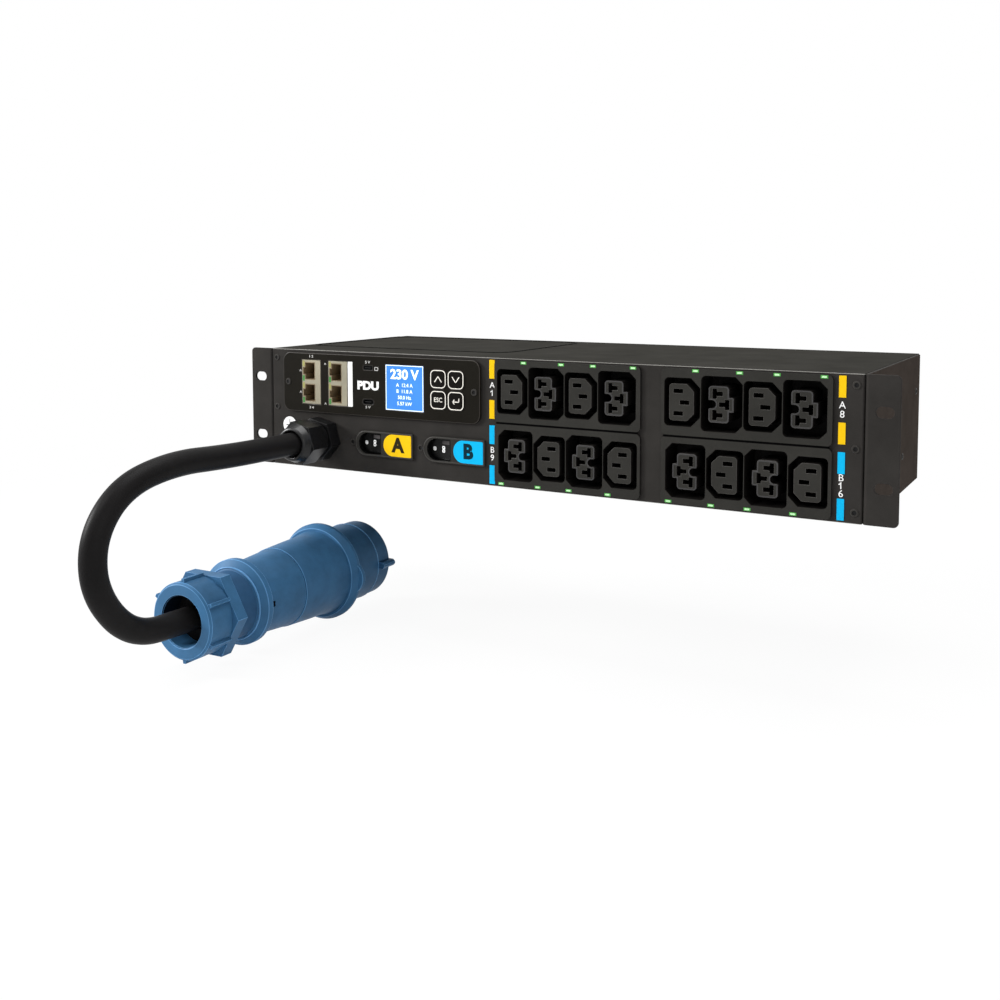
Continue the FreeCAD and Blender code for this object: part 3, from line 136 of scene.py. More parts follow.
WHITE = (1.0, 1.0, 1.0, 1.0)
PAPER = (0.9, 0.9, 0.9, 1.0)
FLOOR_REACH = 30.0
SHADOW_NEAR, SHADOW_FAR = 0.2, 0.9
WHITE_NEAR, WHITE_FAR = 0.94, 1.0


def photo_camera():
    """The viewpoint of the photograph."""
    data = bpy.data.cameras.new("camera")
    data.sensor_fit = "HORIZONTAL"
    data.sensor_width = CAMERA_SENSOR
    data.lens = CAMERA_LENS
    data.shift_x, data.shift_y = CAMERA_SHIFT
    data.clip_start = CAMERA_NEAR
    camera = bpy.data.objects.new("camera", data)
    camera.location = CAMERA_PLACE
    camera.rotation_euler = (math.pi / 2 + CAMERA_PITCH, 0.0, CAMERA_TURN)
    scene.collection.objects.link(camera)
    scene.camera = camera


def lamp(name, place, target, power, size):
    """A soft rectangular studio lamp that faces a point."""
    data = bpy.data.lights.new(name, "AREA")
    data.shape = "RECTANGLE"
    data.size, data.size_y = size
    data.energy = power
    light = bpy.data.objects.new(name, data)
    light.location = place
    light.rotation_euler = (Vector(target) - Vector(place)).to_track_quat("-Z", "Y").to_euler()
    scene.collection.objects.link(light)


def math_node(tree, operation, first, second):
    """The result of an operation on two outputs of a node tree."""
    node = tree.nodes.new("ShaderNodeMath")
    node.operation = operation
    tree.links.new(first, node.inputs[0])
    tree.links.new(second, node.inputs[1])
    return node.outputs[0]


def seen_directly(tree):
    """A factor that is 1 for what the camera, a reflection or glass shows."""
    path = tree.nodes.new("ShaderNodeLightPath").outputs
    shown = math_node(tree, "MAXIMUM", path["Is Camera Ray"], path["Is Glossy Ray"])
    return math_node(tree, "MAXIMUM", shown, path["Is Transmission Ray"])


def blended(tree, share, first, second, end):
    """Two shaders mixed by a share into the end of their tree."""
    mix = tree.nodes.new("ShaderNodeMixShader")
    tree.links.new(share, mix.inputs[0])
    tree.links.new(first.outputs[0], mix.inputs[1])
    tree.links.new(second.outputs[0], mix.inputs[2])
    tree.links.new(mix.outputs[0], tree.nodes[end].inputs["Surface"])


def white_surroundings():
    """A soft fill from all round, seen as white."""
    world = bpy.data.worlds.new("studio")
    world.use_nodes = True
    scene.world = world
    tree = world.node_tree
    fill = tree.nodes["Background"]
    fill.inputs["Color"].default_value = FILL_COLOUR
    fill.inputs["Strength"].default_value = FILL_STRENGTH
    white = tree.nodes.new("ShaderNodeBackground")
    white.inputs["Color"].default_value = WHITE
    white.inputs["Strength"].default_value = 1.0
    blended(tree, seen_directly(tree), fill, white, "World Output")


def pale_floor():
    """A pale floor under the plug that keeps the shadow and fades into the surroundings."""
    mesh = bpy.data.meshes.new("floor")
    shape = bmesh.new()
    level = Matrix.Translation((0, 0, FLOOR))
    bmesh.ops.create_grid(shape, x_segments=1, y_segments=1, size=FLOOR_REACH, matrix=level)
    shape.to_mesh(mesh)
    shape.free()
    floor = bpy.data.objects.new("floor", mesh)
    scene.collection.objects.link(floor)
    pale = bpy.data.materials.new("pale_floor")
    pale.use_nodes = True
    tree = pale.node_tree
    paper = tree.nodes["Principled BSDF"]
    paper.inputs["Base Color"].default_value = PAPER
    paper.inputs["Roughness"].default_value = 1.0
    paper.inputs["Specular IOR Level"].default_value = 0.0
    light = tree.nodes.new("ShaderNodeEmission")
    light.inputs["Color"].default_value = WHITE
    light.inputs["Strength"].default_value = 1.0
    coordinates = tree.nodes.new("ShaderNodeTexCoord")
    away = tree.nodes.new("ShaderNodeVectorMath")
    away.operation = "LENGTH"
    tree.links.new(coordinates.outputs["Object"], away.inputs[0])
    fade = tree.nodes.new("ShaderNodeMapRange")
    fade.inputs["From Min"].default_value = SHADOW_NEAR
    fade.inputs["From Max"].default_value = SHADOW_FAR
    fade.inputs["To Min"].default_value = WHITE_NEAR
    fade.inputs["To Max"].default_value = WHITE_FAR
    tree.links.new(away.outputs["Value"], fade.inputs["Value"])
    share = math_node(tree, "MULTIPLY", seen_directly(tree), fade.outputs["Result"])
    blended(tree, share, paper, light, "Material Output")
    mesh.materials.append(pale)


# Finishes

GRAIN_DETAIL = 3.0
PATCH_DETAIL = 5.0
PATCH_ROUGHNESS = 0.65
PATCH_SHADE, PATCH_LIGHT = 0.3, 0.7
SHEEN_LOW, SHEEN_HIGH = 0.25, 0.75
SHEEN_SPREAD = 0.08
SMOOTHEST = 0.02
RELIEF_HEIGHT = 0.1 * MM


def tone(red, green, blue):
    """A screen colour as a scene colour."""
    channels = [channel / 255 for channel in (red, green, blue)]
    return [part / 12.92 if part < 0.04 else ((part + 0.055) / 1.055) ** 2.4 for part in channels]


def finish(name, colour, rough, grain, relief, spread=0.15, patch=30.0, metal=0.0, shine=0.5,
           stretch=(1, 1, 1), glow=0.0):
    """A finish with fine grain in its surface and slow changes of tone over it."""
    material = bpy.data.materials.new(name)
    material.use_nodes = True
    tree = material.node_tree
    shader = tree.nodes["Principled BSDF"]
    coordinates = tree.nodes.new("ShaderNodeTexCoord")
    turn = tree.nodes.new("ShaderNodeMapping")
    turn.inputs["Scale"].default_value = stretch
    tree.links.new(coordinates.outputs["Object"], turn.inputs["Vector"])
    fine = tree.nodes.new("ShaderNodeTexNoise")
    fine.inputs["Scale"].default_value = grain
    fine.inputs["Detail"].default_value = GRAIN_DETAIL
    tree.links.new(turn.outputs["Vector"], fine.inputs["Vector"])
    broad = tree.nodes.new("ShaderNodeTexNoise")
    broad.inputs["Scale"].default_value = patch
    broad.inputs["Detail"].default_value = PATCH_DETAIL
    broad.inputs["Roughness"].default_value = PATCH_ROUGHNESS
    tree.links.new(coordinates.outputs["Object"], broad.inputs["Vector"])
    ramp = tree.nodes.new("ShaderNodeValToRGB")
    shade, light = ramp.color_ramp.elements
    shade.position = PATCH_SHADE
    light.position = PATCH_LIGHT
    shade.color = [part * (1 - spread) for part in colour] + [1.0]
    light.color = [min(1.0, part * (1 + spread)) for part in colour] + [1.0]
    tree.links.new(broad.outputs["Fac"], ramp.inputs["Fac"])
    tree.links.new(ramp.outputs["Color"], shader.inputs["Base Color"])
    sheen = tree.nodes.new("ShaderNodeMapRange")
    sheen.inputs["From Min"].default_value = SHEEN_LOW
    sheen.inputs["From Max"].default_value = SHEEN_HIGH
    sheen.inputs["To Min"].default_value = max(SMOOTHEST, rough - SHEEN_SPREAD)
    sheen.inputs["To Max"].default_value = min(1.0, rough + SHEEN_SPREAD)
    tree.links.new(fine.outputs["Fac"], sheen.inputs["Value"])
    tree.links.new(sheen.outputs["Result"], shader.inputs["Roughness"])
    bump = tree.nodes.new("ShaderNodeBump")
    bump.inputs["Strength"].default_value = relief
    bump.inputs["Distance"].default_value = RELIEF_HEIGHT
    tree.links.new(fine.outputs["Fac"], bump.inputs["Height"])
    tree.links.new(bump.outputs["Normal"], shader.inputs["Normal"])
    shader.inputs["Metallic"].default_value = metal
    shader.inputs["Specular IOR Level"].default_value = shine
    if glow:
        tree.links.new(ramp.outputs["Color"], shader.inputs["Emission Color"])
        shader.inputs["Emission Strength"].default_value = glow
    return material


# One finish for each material slot of the record
FINISHES = {
    "black_enamel": finish("black_enamel", tone(49, 47, 45), 0.55, 1600.0, 0.25, shine=0.01),
    "black_screw": finish("black_screw", tone(49, 47, 44), 0.5, 2400.0, 0.1, shine=0.15),
    "module_plastic": finish("module_plastic", tone(27, 25, 21), 0.5, 2200.0, 0.35, shine=0.02),
    "jack_shield": finish("jack_shield", tone(146, 140, 121), 0.42, 900.0, 0.15, metal=0.3, shine=0.3,
                          stretch=(1, 1, 12)),
    "lamp_yellow": finish("lamp_yellow", tone(150, 147, 92), 0.3, 800.0, 0.05, shine=0.1, glow=0.03),
    "lamp_green": finish("lamp_green", tone(78, 148, 72), 0.3, 800.0, 0.05, shine=0.05, glow=0.16),
    "display_blue": finish("display_blue", tone(61, 124, 210), 0.2, 700.0, 0.02, spread=0.06, shine=0.1,
                           glow=0.33),
    "key_grey": finish("key_grey", tone(22, 20, 18), 0.5, 2200.0, 0.3, shine=0.02),
    "board": finish("board", tone(36, 106, 59), 0.4, 900.0, 0.1),
    "black_moulding": finish("black_moulding", tone(44, 43, 40), 0.45, 2600.0, 0.2, shine=0.08),
    "yellow_mark": finish("yellow_mark", tone(234, 188, 20), 0.5, 900.0, 0.05, spread=0.04, shine=0.04),
    "blue_mark": finish("blue_mark", tone(15, 173, 224), 0.5, 900.0, 0.05, spread=0.04, shine=0.04),
    "white_mark": finish("white_mark", tone(240, 240, 238), 0.4, 900.0, 0.05, spread=0.03),
    "contact_brass": finish("contact_brass", tone(204, 163, 97), 0.3, 900.0, 0.1, metal=1.0),
    "black_rubber": finish("black_rubber", tone(28, 27, 27), 0.42, 3000.0, 0.1, shine=0.04),
    "plug_blue": finish("plug_blue", tone(55, 97, 133), 0.5, 1500.0, 0.25, spread=0.16, patch=60.0,
                        shine=0.12),
    "carrier_grey": finish("carrier_grey", tone(138, 139, 142), 0.5, 1500.0, 0.2),
    "winding": finish("winding", tone(81, 77, 70), 0.5, 700.0, 0.3),
}

# Inks, lights and the label's paper
white_ink = finish("white_ink", tone(240, 240, 238), 0.5, 1500.0, 0.05, spread=0.05)
dark_ink = finish("dark_ink", tone(31, 29, 27), 0.5, 1500.0, 0.05)
grey_ink = finish("grey_ink", tone(192, 190, 186), 0.5, 1500.0, 0.05, spread=0.05)
key_ink = finish("key_ink", tone(238, 233, 222), 0.5, 1500.0, 0.05, spread=0.05)
yellow_tag_ink = finish("yellow_tag_ink", tone(43, 36, 18), 0.5, 1500.0, 0.05, shine=0.05)
blue_tag_ink = finish("blue_tag_ink", tone(8, 43, 54), 0.5, 1500.0, 0.05, shine=0.05)
grey_patch_ink = finish("grey_patch_ink", tone(66, 63, 63), 0.5, 1500.0, 0.05, shine=0.1)
screen_white = finish("screen_white", tone(232, 244, 255), 0.3, 700.0, 0.02, spread=0.03, glow=0.59)
jack_green = finish("jack_green", tone(68, 126, 66), 0.3, 800.0, 0.05, shine=0.1, glow=0.03)
lamp_core = finish("lamp_core", tone(178, 220, 171), 0.3, 700.0, 0.02, spread=0.03, shine=0.1, glow=0.16)
label_paper = finish("label_paper", tone(240, 239, 236), 0.6, 1200.0, 0.2, spread=0.04)

# Enamel, mouldings and metal of single pieces, and painted light and shade on them
# Painted light: copies of the panel's enamel, lighter on the lid's top and on the sides, lighter and warmer
# on the right ear's side
lid_painted_light = finish("lid_painted_light", tone(53, 52, 49), 0.55, 1600.0, 0.25, shine=0.0)
side_painted_light = finish("side_painted_light", tone(55, 53, 49), 0.55, 1600.0, 0.25, shine=0.0)
ear_fold_painted_light = finish("ear_fold_painted_light", tone(73, 66, 61), 0.55, 1600.0, 0.25, shine=0.0)
press_bead_painted_shade = finish("press_bead_painted_shade", tone(25, 25, 23), 0.6, 1600.0, 0.1, shine=0.02)
# Painted highlight along the front panel's rounded edges
panel_edge_highlight = finish("panel_edge_highlight", tone(129, 127, 122), 0.4, 1600.0, 0.1, shine=0.2)
gland_black = finish("gland_black", tone(18, 18, 19), 0.32, 1800.0, 0.12, shine=0.3)
# Black of the rockers, and painted shade on the walls inside the breakers' windows
rocker_black_and_window_shade = finish("rocker_black_and_window_shade", tone(12, 12, 12), 0.3, 2600.0, 0.1, shine=0.15)
# Near black of the data ports, and painted shade on the floors of the screws' sockets
port_black_and_socket_shade = finish("port_black_and_socket_shade", tone(20, 20, 20), 0.4, 1200.0, 0.1, shine=0.15)
# Painted shade in the outlets' recesses
socket_recess_shade = finish("socket_recess_shade", tone(25, 23, 22), 0.5, 2600.0, 0.2, shine=0.06)
# Painted shadow in the gap between the outlet rows and in the drain hole's mouth
gap_painted_shadow = finish("gap_painted_shadow", tone(7, 7, 7), 0.7, 2600.0, 0.1, shine=0.0)
# Painted highlight on the breakers' raised rims
rim_highlight = finish("rim_highlight", tone(54, 52, 49), 0.4, 1800.0, 0.1, shine=0.15)
# Painted highlight along the large bosses' edges
boss_highlight = finish("boss_highlight", tone(60, 59, 59), 0.45, 2600.0, 0.15, shine=0.15)
# Painted highlights along the rounded edges of the mouldings and the module
moulding_edge_highlight = finish("moulding_edge_highlight", tone(81, 79, 76), 0.4, 2600.0, 0.1, shine=0.2)
module_edge_highlight = finish("module_edge_highlight", tone(52, 48, 44), 0.4, 2200.0, 0.1, shine=0.2)
jack_lining = finish("jack_lining", tone(120, 104, 79), 0.5, 1500.0, 0.1, shine=0.2)
# Brass painted dark as the shade on the contacts deep in the outlets
contact_painted_shade = finish("contact_painted_shade", tone(40, 36, 29), 0.6, 900.0, 0.1, metal=0.3, shine=0.1)

# Painted light on the plug's rims, painted shade on its neck and bore, and painted highlights on its edges
plug_painted_light = finish("plug_painted_light", tone(57, 102, 140), 0.5, 1500.0, 0.25, spread=0.12, patch=60.0, shine=0.12)
neck_shade = finish("neck_shade", tone(45, 79, 112), 0.55, 1500.0, 0.25, spread=0.14, patch=60.0, shine=0.08)
nut_shade = finish("nut_shade", tone(13, 22, 34), 0.6, 1500.0, 0.2, shine=0.05)
plug_edge_highlight = finish("plug_edge_highlight", tone(87, 139, 186), 0.45, 1500.0, 0.1, shine=0.2)

# Solids whose finish isn't the one of their slot
NODE_FINISHES = {
    "jack_lamps_green": jack_green, "jack_liners": jack_lining, "usb_ports": port_black_and_socket_shade,
    "gland_body": gland_black, "gland_dome_nut": gland_black, "gland_locknut": gland_black,
    "breaker_a_rocker": rocker_black_and_window_shade, "breaker_b_rocker": rocker_black_and_window_shade,
    # The lid and the tray take enamel painted lighter as painted light; the outlet contacts take brass
    # painted darker as shade
    "outlet_contacts": contact_painted_shade, "top_cover": lid_painted_light, "chassis_tray": side_painted_light,
}
# Painted highlights on rounded edges, by slot or by solid
EDGE_HIGHLIGHTS = {"black_moulding": moulding_edge_highlight, "module_plastic": module_edge_highlight, "plug_blue": plug_edge_highlight,
                 "front_panel": panel_edge_highlight}


# Making pieces

PLATE_STEPS = 5
FRAME_STEPS = 6
STROKE_END = 0.45
CAPITAL_SHARE = 0.69
LETTER_STEPS = 4
# The gap left where two rounded corners meet, and the length under which an edge is merged away
MEETING_GAP = 0.01 * MM
SHORT_EDGE = 0.05 * MM


def piece_of(shape, name, slot, *finishes, body="unit"):
    """A finished piece from a shape, riding on a body."""
    mesh = bpy.data.meshes.new(name)
    shape.to_mesh(mesh)
    shape.free()
    for material in finishes:
        mesh.materials.append(material)
    piece = bpy.data.objects.new(name, mesh)
    scene.collection.objects.link(piece)
    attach(piece, body)
    return piece


def connected(start):
    """All the vertices joined to one by edges."""
    found = {start}
    waiting = [start]
    while waiting:
        for edge in waiting.pop().link_edges:
            for vert in edge.verts:
                if vert not in found:
                    found.add(vert)
                    waiting.append(vert)
    return list(found)


def faces_of(verts):
    """All the faces that meet some vertices."""
    return list({face for vert in verts for face in vert.link_faces})


def smooth(shape):
    """Shade a shape as one rounded surface."""
    for face in shape.faces:
        face.smooth = True


def rounded_corners(shape, verts, radius, steps):
    """Round some corners of a flat sheet."""
    return bmesh.ops.bevel(shape, geom=verts, offset=radius, segments=steps, profile=0.5, affect="VERTICES",
                           material=-1)


def inset(shape, sheet, thickness, depth=0.0):
    """Draw a border in from the edge of a sheet; gives the border's faces."""
    made = bmesh.ops.inset_region(shape, faces=[sheet], thickness=thickness, depth=depth, use_boundary=True,
                                  use_even_offset=True)
    return made["faces"]


def drawn_out(shape, faces, step):
    """Draw faces out by a step; gives the vertices that moved."""
    made = bmesh.ops.extrude_face_region(shape, geom=faces)
    raised = [part for part in made["geom"] if isinstance(part, bmesh.types.BMVert)]
    bmesh.ops.translate(shape, verts=raised, vec=step)
    return raised


def flat_sheet(shape, size, corner, steps):
    """A flat sheet about the origin with rounded corners."""
    verts = bmesh.ops.create_grid(shape, x_segments=1, y_segments=1, size=0.5)["verts"]
    bmesh.ops.scale(shape, verts=verts, vec=(*size, 1.0))
    rounded = rounded_corners(shape, verts, corner, steps)
    return max(rounded["verts"][0].link_faces, key=lambda face: face.calc_area())


def stood(shape, faces, at, face, thick):
    """Flat faces thickened and stood in the panel's plane, with their front at a face."""
    body = connected(drawn_out(shape, faces, (0, 0, thick))[0])
    bmesh.ops.recalc_face_normals(shape, faces=faces_of(body))
    stand = Matrix.Translation((at[0], face + thick, at[1])) @ Matrix.Rotation(math.pi / 2, 4, "X")
    bmesh.ops.transform(shape, matrix=stand, verts=body)
    return body


def plate(shape, at, size, corner, face, thick=INK):
    """A thin plate with rounded corners in the panel's plane."""
    sheet = flat_sheet(shape, size, corner, PLATE_STEPS)
    return stood(shape, [sheet], at, face, thick)


def rim_line(shape, at, size, corner, line, face, thick=INK):
    """A rounded frame in the panel's plane."""
    sheet = flat_sheet(shape, size, corner, FRAME_STEPS)
    border = inset(shape, sheet, line)
    bmesh.ops.delete(shape, geom=[sheet], context="FACES_ONLY")
    return stood(shape, border, at, face, thick)


def stroke(shape, start, end, width, face):
    """A printed line from one point of the panel's plane to another."""
    across = Vector((end[0] - start[0], 0.0, end[1] - start[1]))
    verts = plate(shape, (0.0, 0.0), (across.length + width, width), width * STROKE_END, 0.0)
    centre = Vector(((start[0] + end[0]) / 2, face, (start[1] + end[1]) / 2))
    slant = Matrix.Rotation(-math.atan2(across.z, across.x), 4, "Y")
    bmesh.ops.transform(shape, matrix=Matrix.Translation(centre) @ slant, verts=verts)


def lettering(shape, words, at, height, face, bold=0.0, wide=1.0):
    """Printed characters centred on a point of the panel's plane."""
    data = bpy.data.curves.new("letters", "FONT")
    data.body = words
    data.size = height / CAPITAL_SHARE
    data.align_x = "CENTER"
    data.align_y = "CENTER"
    data.offset = bold
    data.extrude = INK / 2
    data.resolution_u = LETTER_STEPS
    holder = bpy.data.objects.new("letters", data)
    scene.collection.objects.link(holder)
    bpy.context.view_layer.update()
    evaluated = holder.evaluated_get(bpy.context.evaluated_depsgraph_get())
    mesh = bpy.data.meshes.new_from_object(evaluated)
    stand = Matrix.Translation((at[0], face + INK / 2, at[1])) @ Matrix.Rotation(math.pi / 2, 4, "X")
    mesh.transform(stand @ Matrix.Diagonal((wide, 1.0, 1.0, 1.0)))
    shape.from_mesh(mesh)
    bpy.data.objects.remove(holder)
    bpy.data.meshes.remove(mesh)
    bpy.data.curves.remove(data)


# Edges of the solids as moulding, folding and turning leave them

EDGE_WIDTHS = {
    "chassis_tray": 0.5, "top_cover": 0.24, "front_panel": 0.35, "left_ear": 0.3, "right_ear": 0.3,
    "controller_faceplate": 0.45, "network_jack_left": 0.07, "network_jack_right": 0.07,
    "key_up": 0.4, "key_down": 0.4, "key_escape": 0.4, "key_enter": 0.4,
    "breaker_a_tag": 0.2, "breaker_b_tag": 0.2, "breaker_a_rocker": 0.14, "breaker_b_rocker": 0.14,
    "outlet_block_upper_left": 0.15, "outlet_block_upper_right": 0.15,
    "outlet_block_lower_left": 0.15, "outlet_block_lower_right": 0.15,
    "gland_body": 0.5, "gland_dome_nut": 0.3,
    "plug_cable_nut": 0.2, "plug_rear_shell": 0.36, "plug_front_shell": 0.3, "plug_shroud": 0.2,
    "plug_pin_carrier": 0.3, "plug_contact_pins": 0.8,
}
EDGE_STEPS = 2
SHARP = math.radians(30.0)
FLAT = math.radians(0.6)
SAME_POINT = 0.002 * MM
# Angles in degrees from which an edge is shaded as a crease
CREASE = 40.0
CREASES = {"plug_cable_nut": 25.0, "plug_rear_shell": 16.0, "plug_front_shell": 16.0, "plug_shroud": 16.0}
RECESS_SHADE_DEPTH = BLOCK_FACE + 0.2 * MM
BOSS_HIGHLIGHT_LEVEL = BLOCK_FACE - 0.5 * MM
SHADED_SHELLS = ("plug_cable_nut", "plug_rear_shell", "plug_front_shell")
PLUG_RIM = 31.6 * MM
COLLAR_START, COLLAR_END = mm(45.4, 56.4)
BORE_UPWARD = 0.4
# How squarely a face has to look a way, as the cosine of its angle
FACING, SQUARE = 0.5, 0.9


def merged_copy(node):
    """A copy of a solid's mesh with its loose triangles merged."""
    shape = bmesh.new()
    shape.from_mesh(frame["nodes"][node].data)
    bmesh.ops.remove_doubles(shape, verts=shape.verts, dist=SAME_POINT)
    return shape


def mark(faces, finishes, extra):
    """Give some faces one more finish of their piece."""
    for face in faces:
        face.material_index = len(finishes)
    finishes.append(extra)


def plug_finish(node, face):
    """Painted light on the plug's rims and ends, painted shade in the cable's bore and on the neck."""
    out = face.calc_center_median() - PLUG_AXIS
    along = out.y
    out.y = 0.0
    if face.normal.dot(out) < -FACING * out.length:
        return nut_shade if node == "plug_cable_nut" and face.normal.z < BORE_UPWARD else plug_painted_light
    if face.normal.y < -FACING or out.length > PLUG_RIM or COLLAR_START < along < COLLAR_END:
        return plug_painted_light
    if node == "plug_rear_shell" and along < COLLAR_START:
        return neck_shade
    return None


def softened(node, width, crease):
    """A copy of a solid with its outer edges rounded as a mould and a press leave them, with painted light
    and shade: highlights on the rounded edges, shade in the outlets' recesses, lighter sides on the ears, lit
    and shaded faces on the plug.
    """
    shape = merged_copy(node)
    bmesh.ops.dissolve_limit(shape, angle_limit=FLAT, verts=shape.verts, edges=shape.edges)
    edges = [edge for edge in shape.edges
             if len(edge.link_faces) == 2 and edge.calc_face_angle_signed(0.0) > SHARP]
    highlit_edges = bmesh.ops.bevel(shape, geom=edges, offset=width, offset_type="OFFSET", segments=EDGE_STEPS,
                           profile=0.5, affect="EDGES", clamp_overlap=False, material=-1)["faces"]
    slot = slot_of_node[node]
    finishes = [NODE_FINISHES.get(node, FINISHES[slot])]
    edge_highlight = EDGE_HIGHLIGHTS.get(node, EDGE_HIGHLIGHTS.get(slot))
    # Painted highlights on the rounded edges; on the outlet blocks only on the bosses' fronts
    if node.startswith("outlet_block"):
        boss_edges = [face for face in highlit_edges if face.calc_center_median().y < BOSS_HIGHLIGHT_LEVEL]
        mark(boss_edges, finishes, edge_highlight)
        # The outlets' recesses, set back behind the block's face, are painted dark as shade
        shaded_recesses = [face for face in shape.faces if face.calc_center_median().y > RECESS_SHADE_DEPTH]
        mark(shaded_recesses, finishes, socket_recess_shade)
    elif edge_highlight and node not in NODE_FINISHES:
        mark(highlit_edges, finishes, edge_highlight)
    # Painted light: the ears' side faces, picked by the way they face, take lighter enamel, the right ear's
    # lighter and warmer still
    if node.endswith("_ear"):
        fold = [face for face in shape.faces
                if abs(face.normal.x) > SQUARE and face.calc_center_median().y > 0.0]
        mark(fold, finishes, ear_fold_painted_light if node == "right_ear" else side_painted_light)
    # Painted light and shade on the plug's faces, by the way they face and where they lie
    if node in SHADED_SHELLS:
        shades = [plug_painted_light, nut_shade, neck_shade]
        for face in shape.faces:
            shade = None if face.material_index else plug_finish(node, face)
            if shade:
                face.material_index = len(finishes) + shades.index(shade)
        finishes += shades
    smooth(shape)
    for edge in shape.edges:
        edge.smooth = len(edge.link_faces) == 2 and edge.calc_face_angle(0.0) < math.radians(crease)
    piece = piece_of(shape, node + "_softened", slot, *finishes, body=body_of_node[node])
    weighted = piece.modifiers.new("even_shading", "WEIGHTED_NORMAL")
    weighted.keep_sharp = True
    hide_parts(node)
    return piece


def soft_edges():
    """Rounded copies of the solids that show, each with its own edge width."""
    return {node: softened(node, width * MM, CREASES.get(node, CREASE))
            for node, width in EDGE_WIDTHS.items()}


# The cord and the plug

CORD_ROUTE = [
    (-172.5, -18.0, -21.2),
    (-172.5, -61.0, -21.0),
    (-172.8, -106.3, -20.3),
    (-173.2, -151.5, -17.8),
    (-173.8, -192.4, -26.2),
    (-174.4, -215.0, -53.0),
    (-175.0, -213.0, -88.5),
    (-175.6, -184.4, -120.4),
    (-176.1, -141.7, -122.1),
    (-176.3, -114.6, -122.4),
]
CORD_RADIUS = 8.25 * MM
CORD_ROUNDING = 10
CORD_STEPS = 24
CORD_ORDER = 3
PLUG_NODES = ["plug_cable_nut", "plug_grommet", "plug_rear_shell", "plug_front_shell", "plug_shroud",
              "plug_pin_carrier", "plug_contact_pins"]
# Each ridge: place along the plug, radius, half its width, how far it stands out
PLUG_RIDGES = ((46.6, 24.6, 0.8, 0.6), (174.5, 28.9, 0.7, 0.5))
RIDGE_SIDES = 8
PLUG_STEPS = 72
DRAIN_PLACE = Vector(mm(25.8, 59.2, 0.0))
DRAIN = dict(size=mm(4.6, 4.0), corner=1.8 * MM, thick=0.3 * MM)
DRAIN_TURN = math.radians(94)


def power_cord(plug_pieces):
    """The round black supply cord from the gland to the plug."""
    data = bpy.data.curves.new("supply_cord", "CURVE")
    data.dimensions = "3D"
    data.bevel_depth = CORD_RADIUS
    data.bevel_resolution = CORD_ROUNDING
    data.resolution_u = CORD_STEPS
    data.use_fill_caps = True
    spline = data.splines.new("NURBS")
    spline.points.add(len(CORD_ROUTE) - 1)
    for point, place in zip(spline.points, CORD_ROUTE):
        point.co = (*mm(*place), 1.0)
    spline.order_u = CORD_ORDER
    spline.use_endpoint_u = True
    data.materials.append(FINISHES["black_rubber"])
    cord = bpy.data.objects.new("supply_cord", data)
    scene.collection.objects.link(cord)
    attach(cord, "unit")
    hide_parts("power_cord")


def plug_ridges():
    """The fine ridges turned on the plug: one by the collar, one round the shroud, in the painted highlight
    of the plug's edges.
    """
    shape = bmesh.new()
    for along, radius, half, proud in PLUG_RIDGES:
        section = bmesh.ops.create_circle(shape, segments=RIDGE_SIDES, radius=MM)["verts"]
        bmesh.ops.scale(shape, verts=section, vec=(proud, half, 1.0))
        bmesh.ops.translate(shape, verts=section, vec=PLUG_AXIS + Vector(mm(radius, along, 0.0)))
        outline = list({edge for vert in section for edge in vert.link_edges})
        bmesh.ops.spin(shape, geom=section + outline, cent=PLUG_AXIS, axis=(0, 1, 0), angle=math.tau,
                       steps=PLUG_STEPS, use_merge=True)
    bmesh.ops.recalc_face_normals(shape, faces=shape.faces)
    smooth(shape)
    return piece_of(shape, "plug_ridges", "plug_blue", plug_edge_highlight)


def drain_hole_shade():
    """A dark plate behind the collar, painted as the shade in the mouth of the drain hole."""
    shape = bmesh.new()
    mouth = plate(shape, (0.0, 0.0), face=0.0, **DRAIN)
    lie = Matrix.Translation(PLUG_AXIS + DRAIN_PLACE) @ Matrix.Rotation(DRAIN_TURN, 4, "Z")
    bmesh.ops.transform(shape, matrix=lie, verts=mouth)
    return piece_of(shape, "drain_hole_shade", "plug_blue", gap_painted_shadow)


# Fasteners

HEAD_RADIUS, CROWN_RADIUS, HEAD_HEIGHT = mm(2.5, 2.1, 0.6)
SOCKET_INSET, SOCKET_DROP = mm(0.7, 0.5)
HEAD_SIDES = 24
FRONT, REAR = (0, -1, 0), (0, 1, 0)
EAR_SIDE = 222.9 * MM
SCREW_HEADS = {
    "panel_screws": [((x * MM, PANEL_FACE, z * MM), FRONT)
                     for x in (-216.4, 216.4) for z in (-37.4, 0.0, 37.4)],
    "controller_screws": [((x * MM, PLATE_FACE, MODULE_ROW), FRONT) for x in (-203.8, -40.6)],
    "breaker_screws": [((x * MM, PANEL_FACE, BREAKER_ROW), FRONT) for x in (-145.4, -86.1)],
    "ear_screws": [((side * EAR_SIDE, y * MM, z * MM), (side, 0, 0))
                   for side in (-1, 1) for y, z in ((153.0, 19.4), (107.0, -19.6))],
    "cover_screws": [((x * MM, LID_REAR, 36.5 * MM), REAR) for x in (-195.0, 0.0, 195.0)],
}


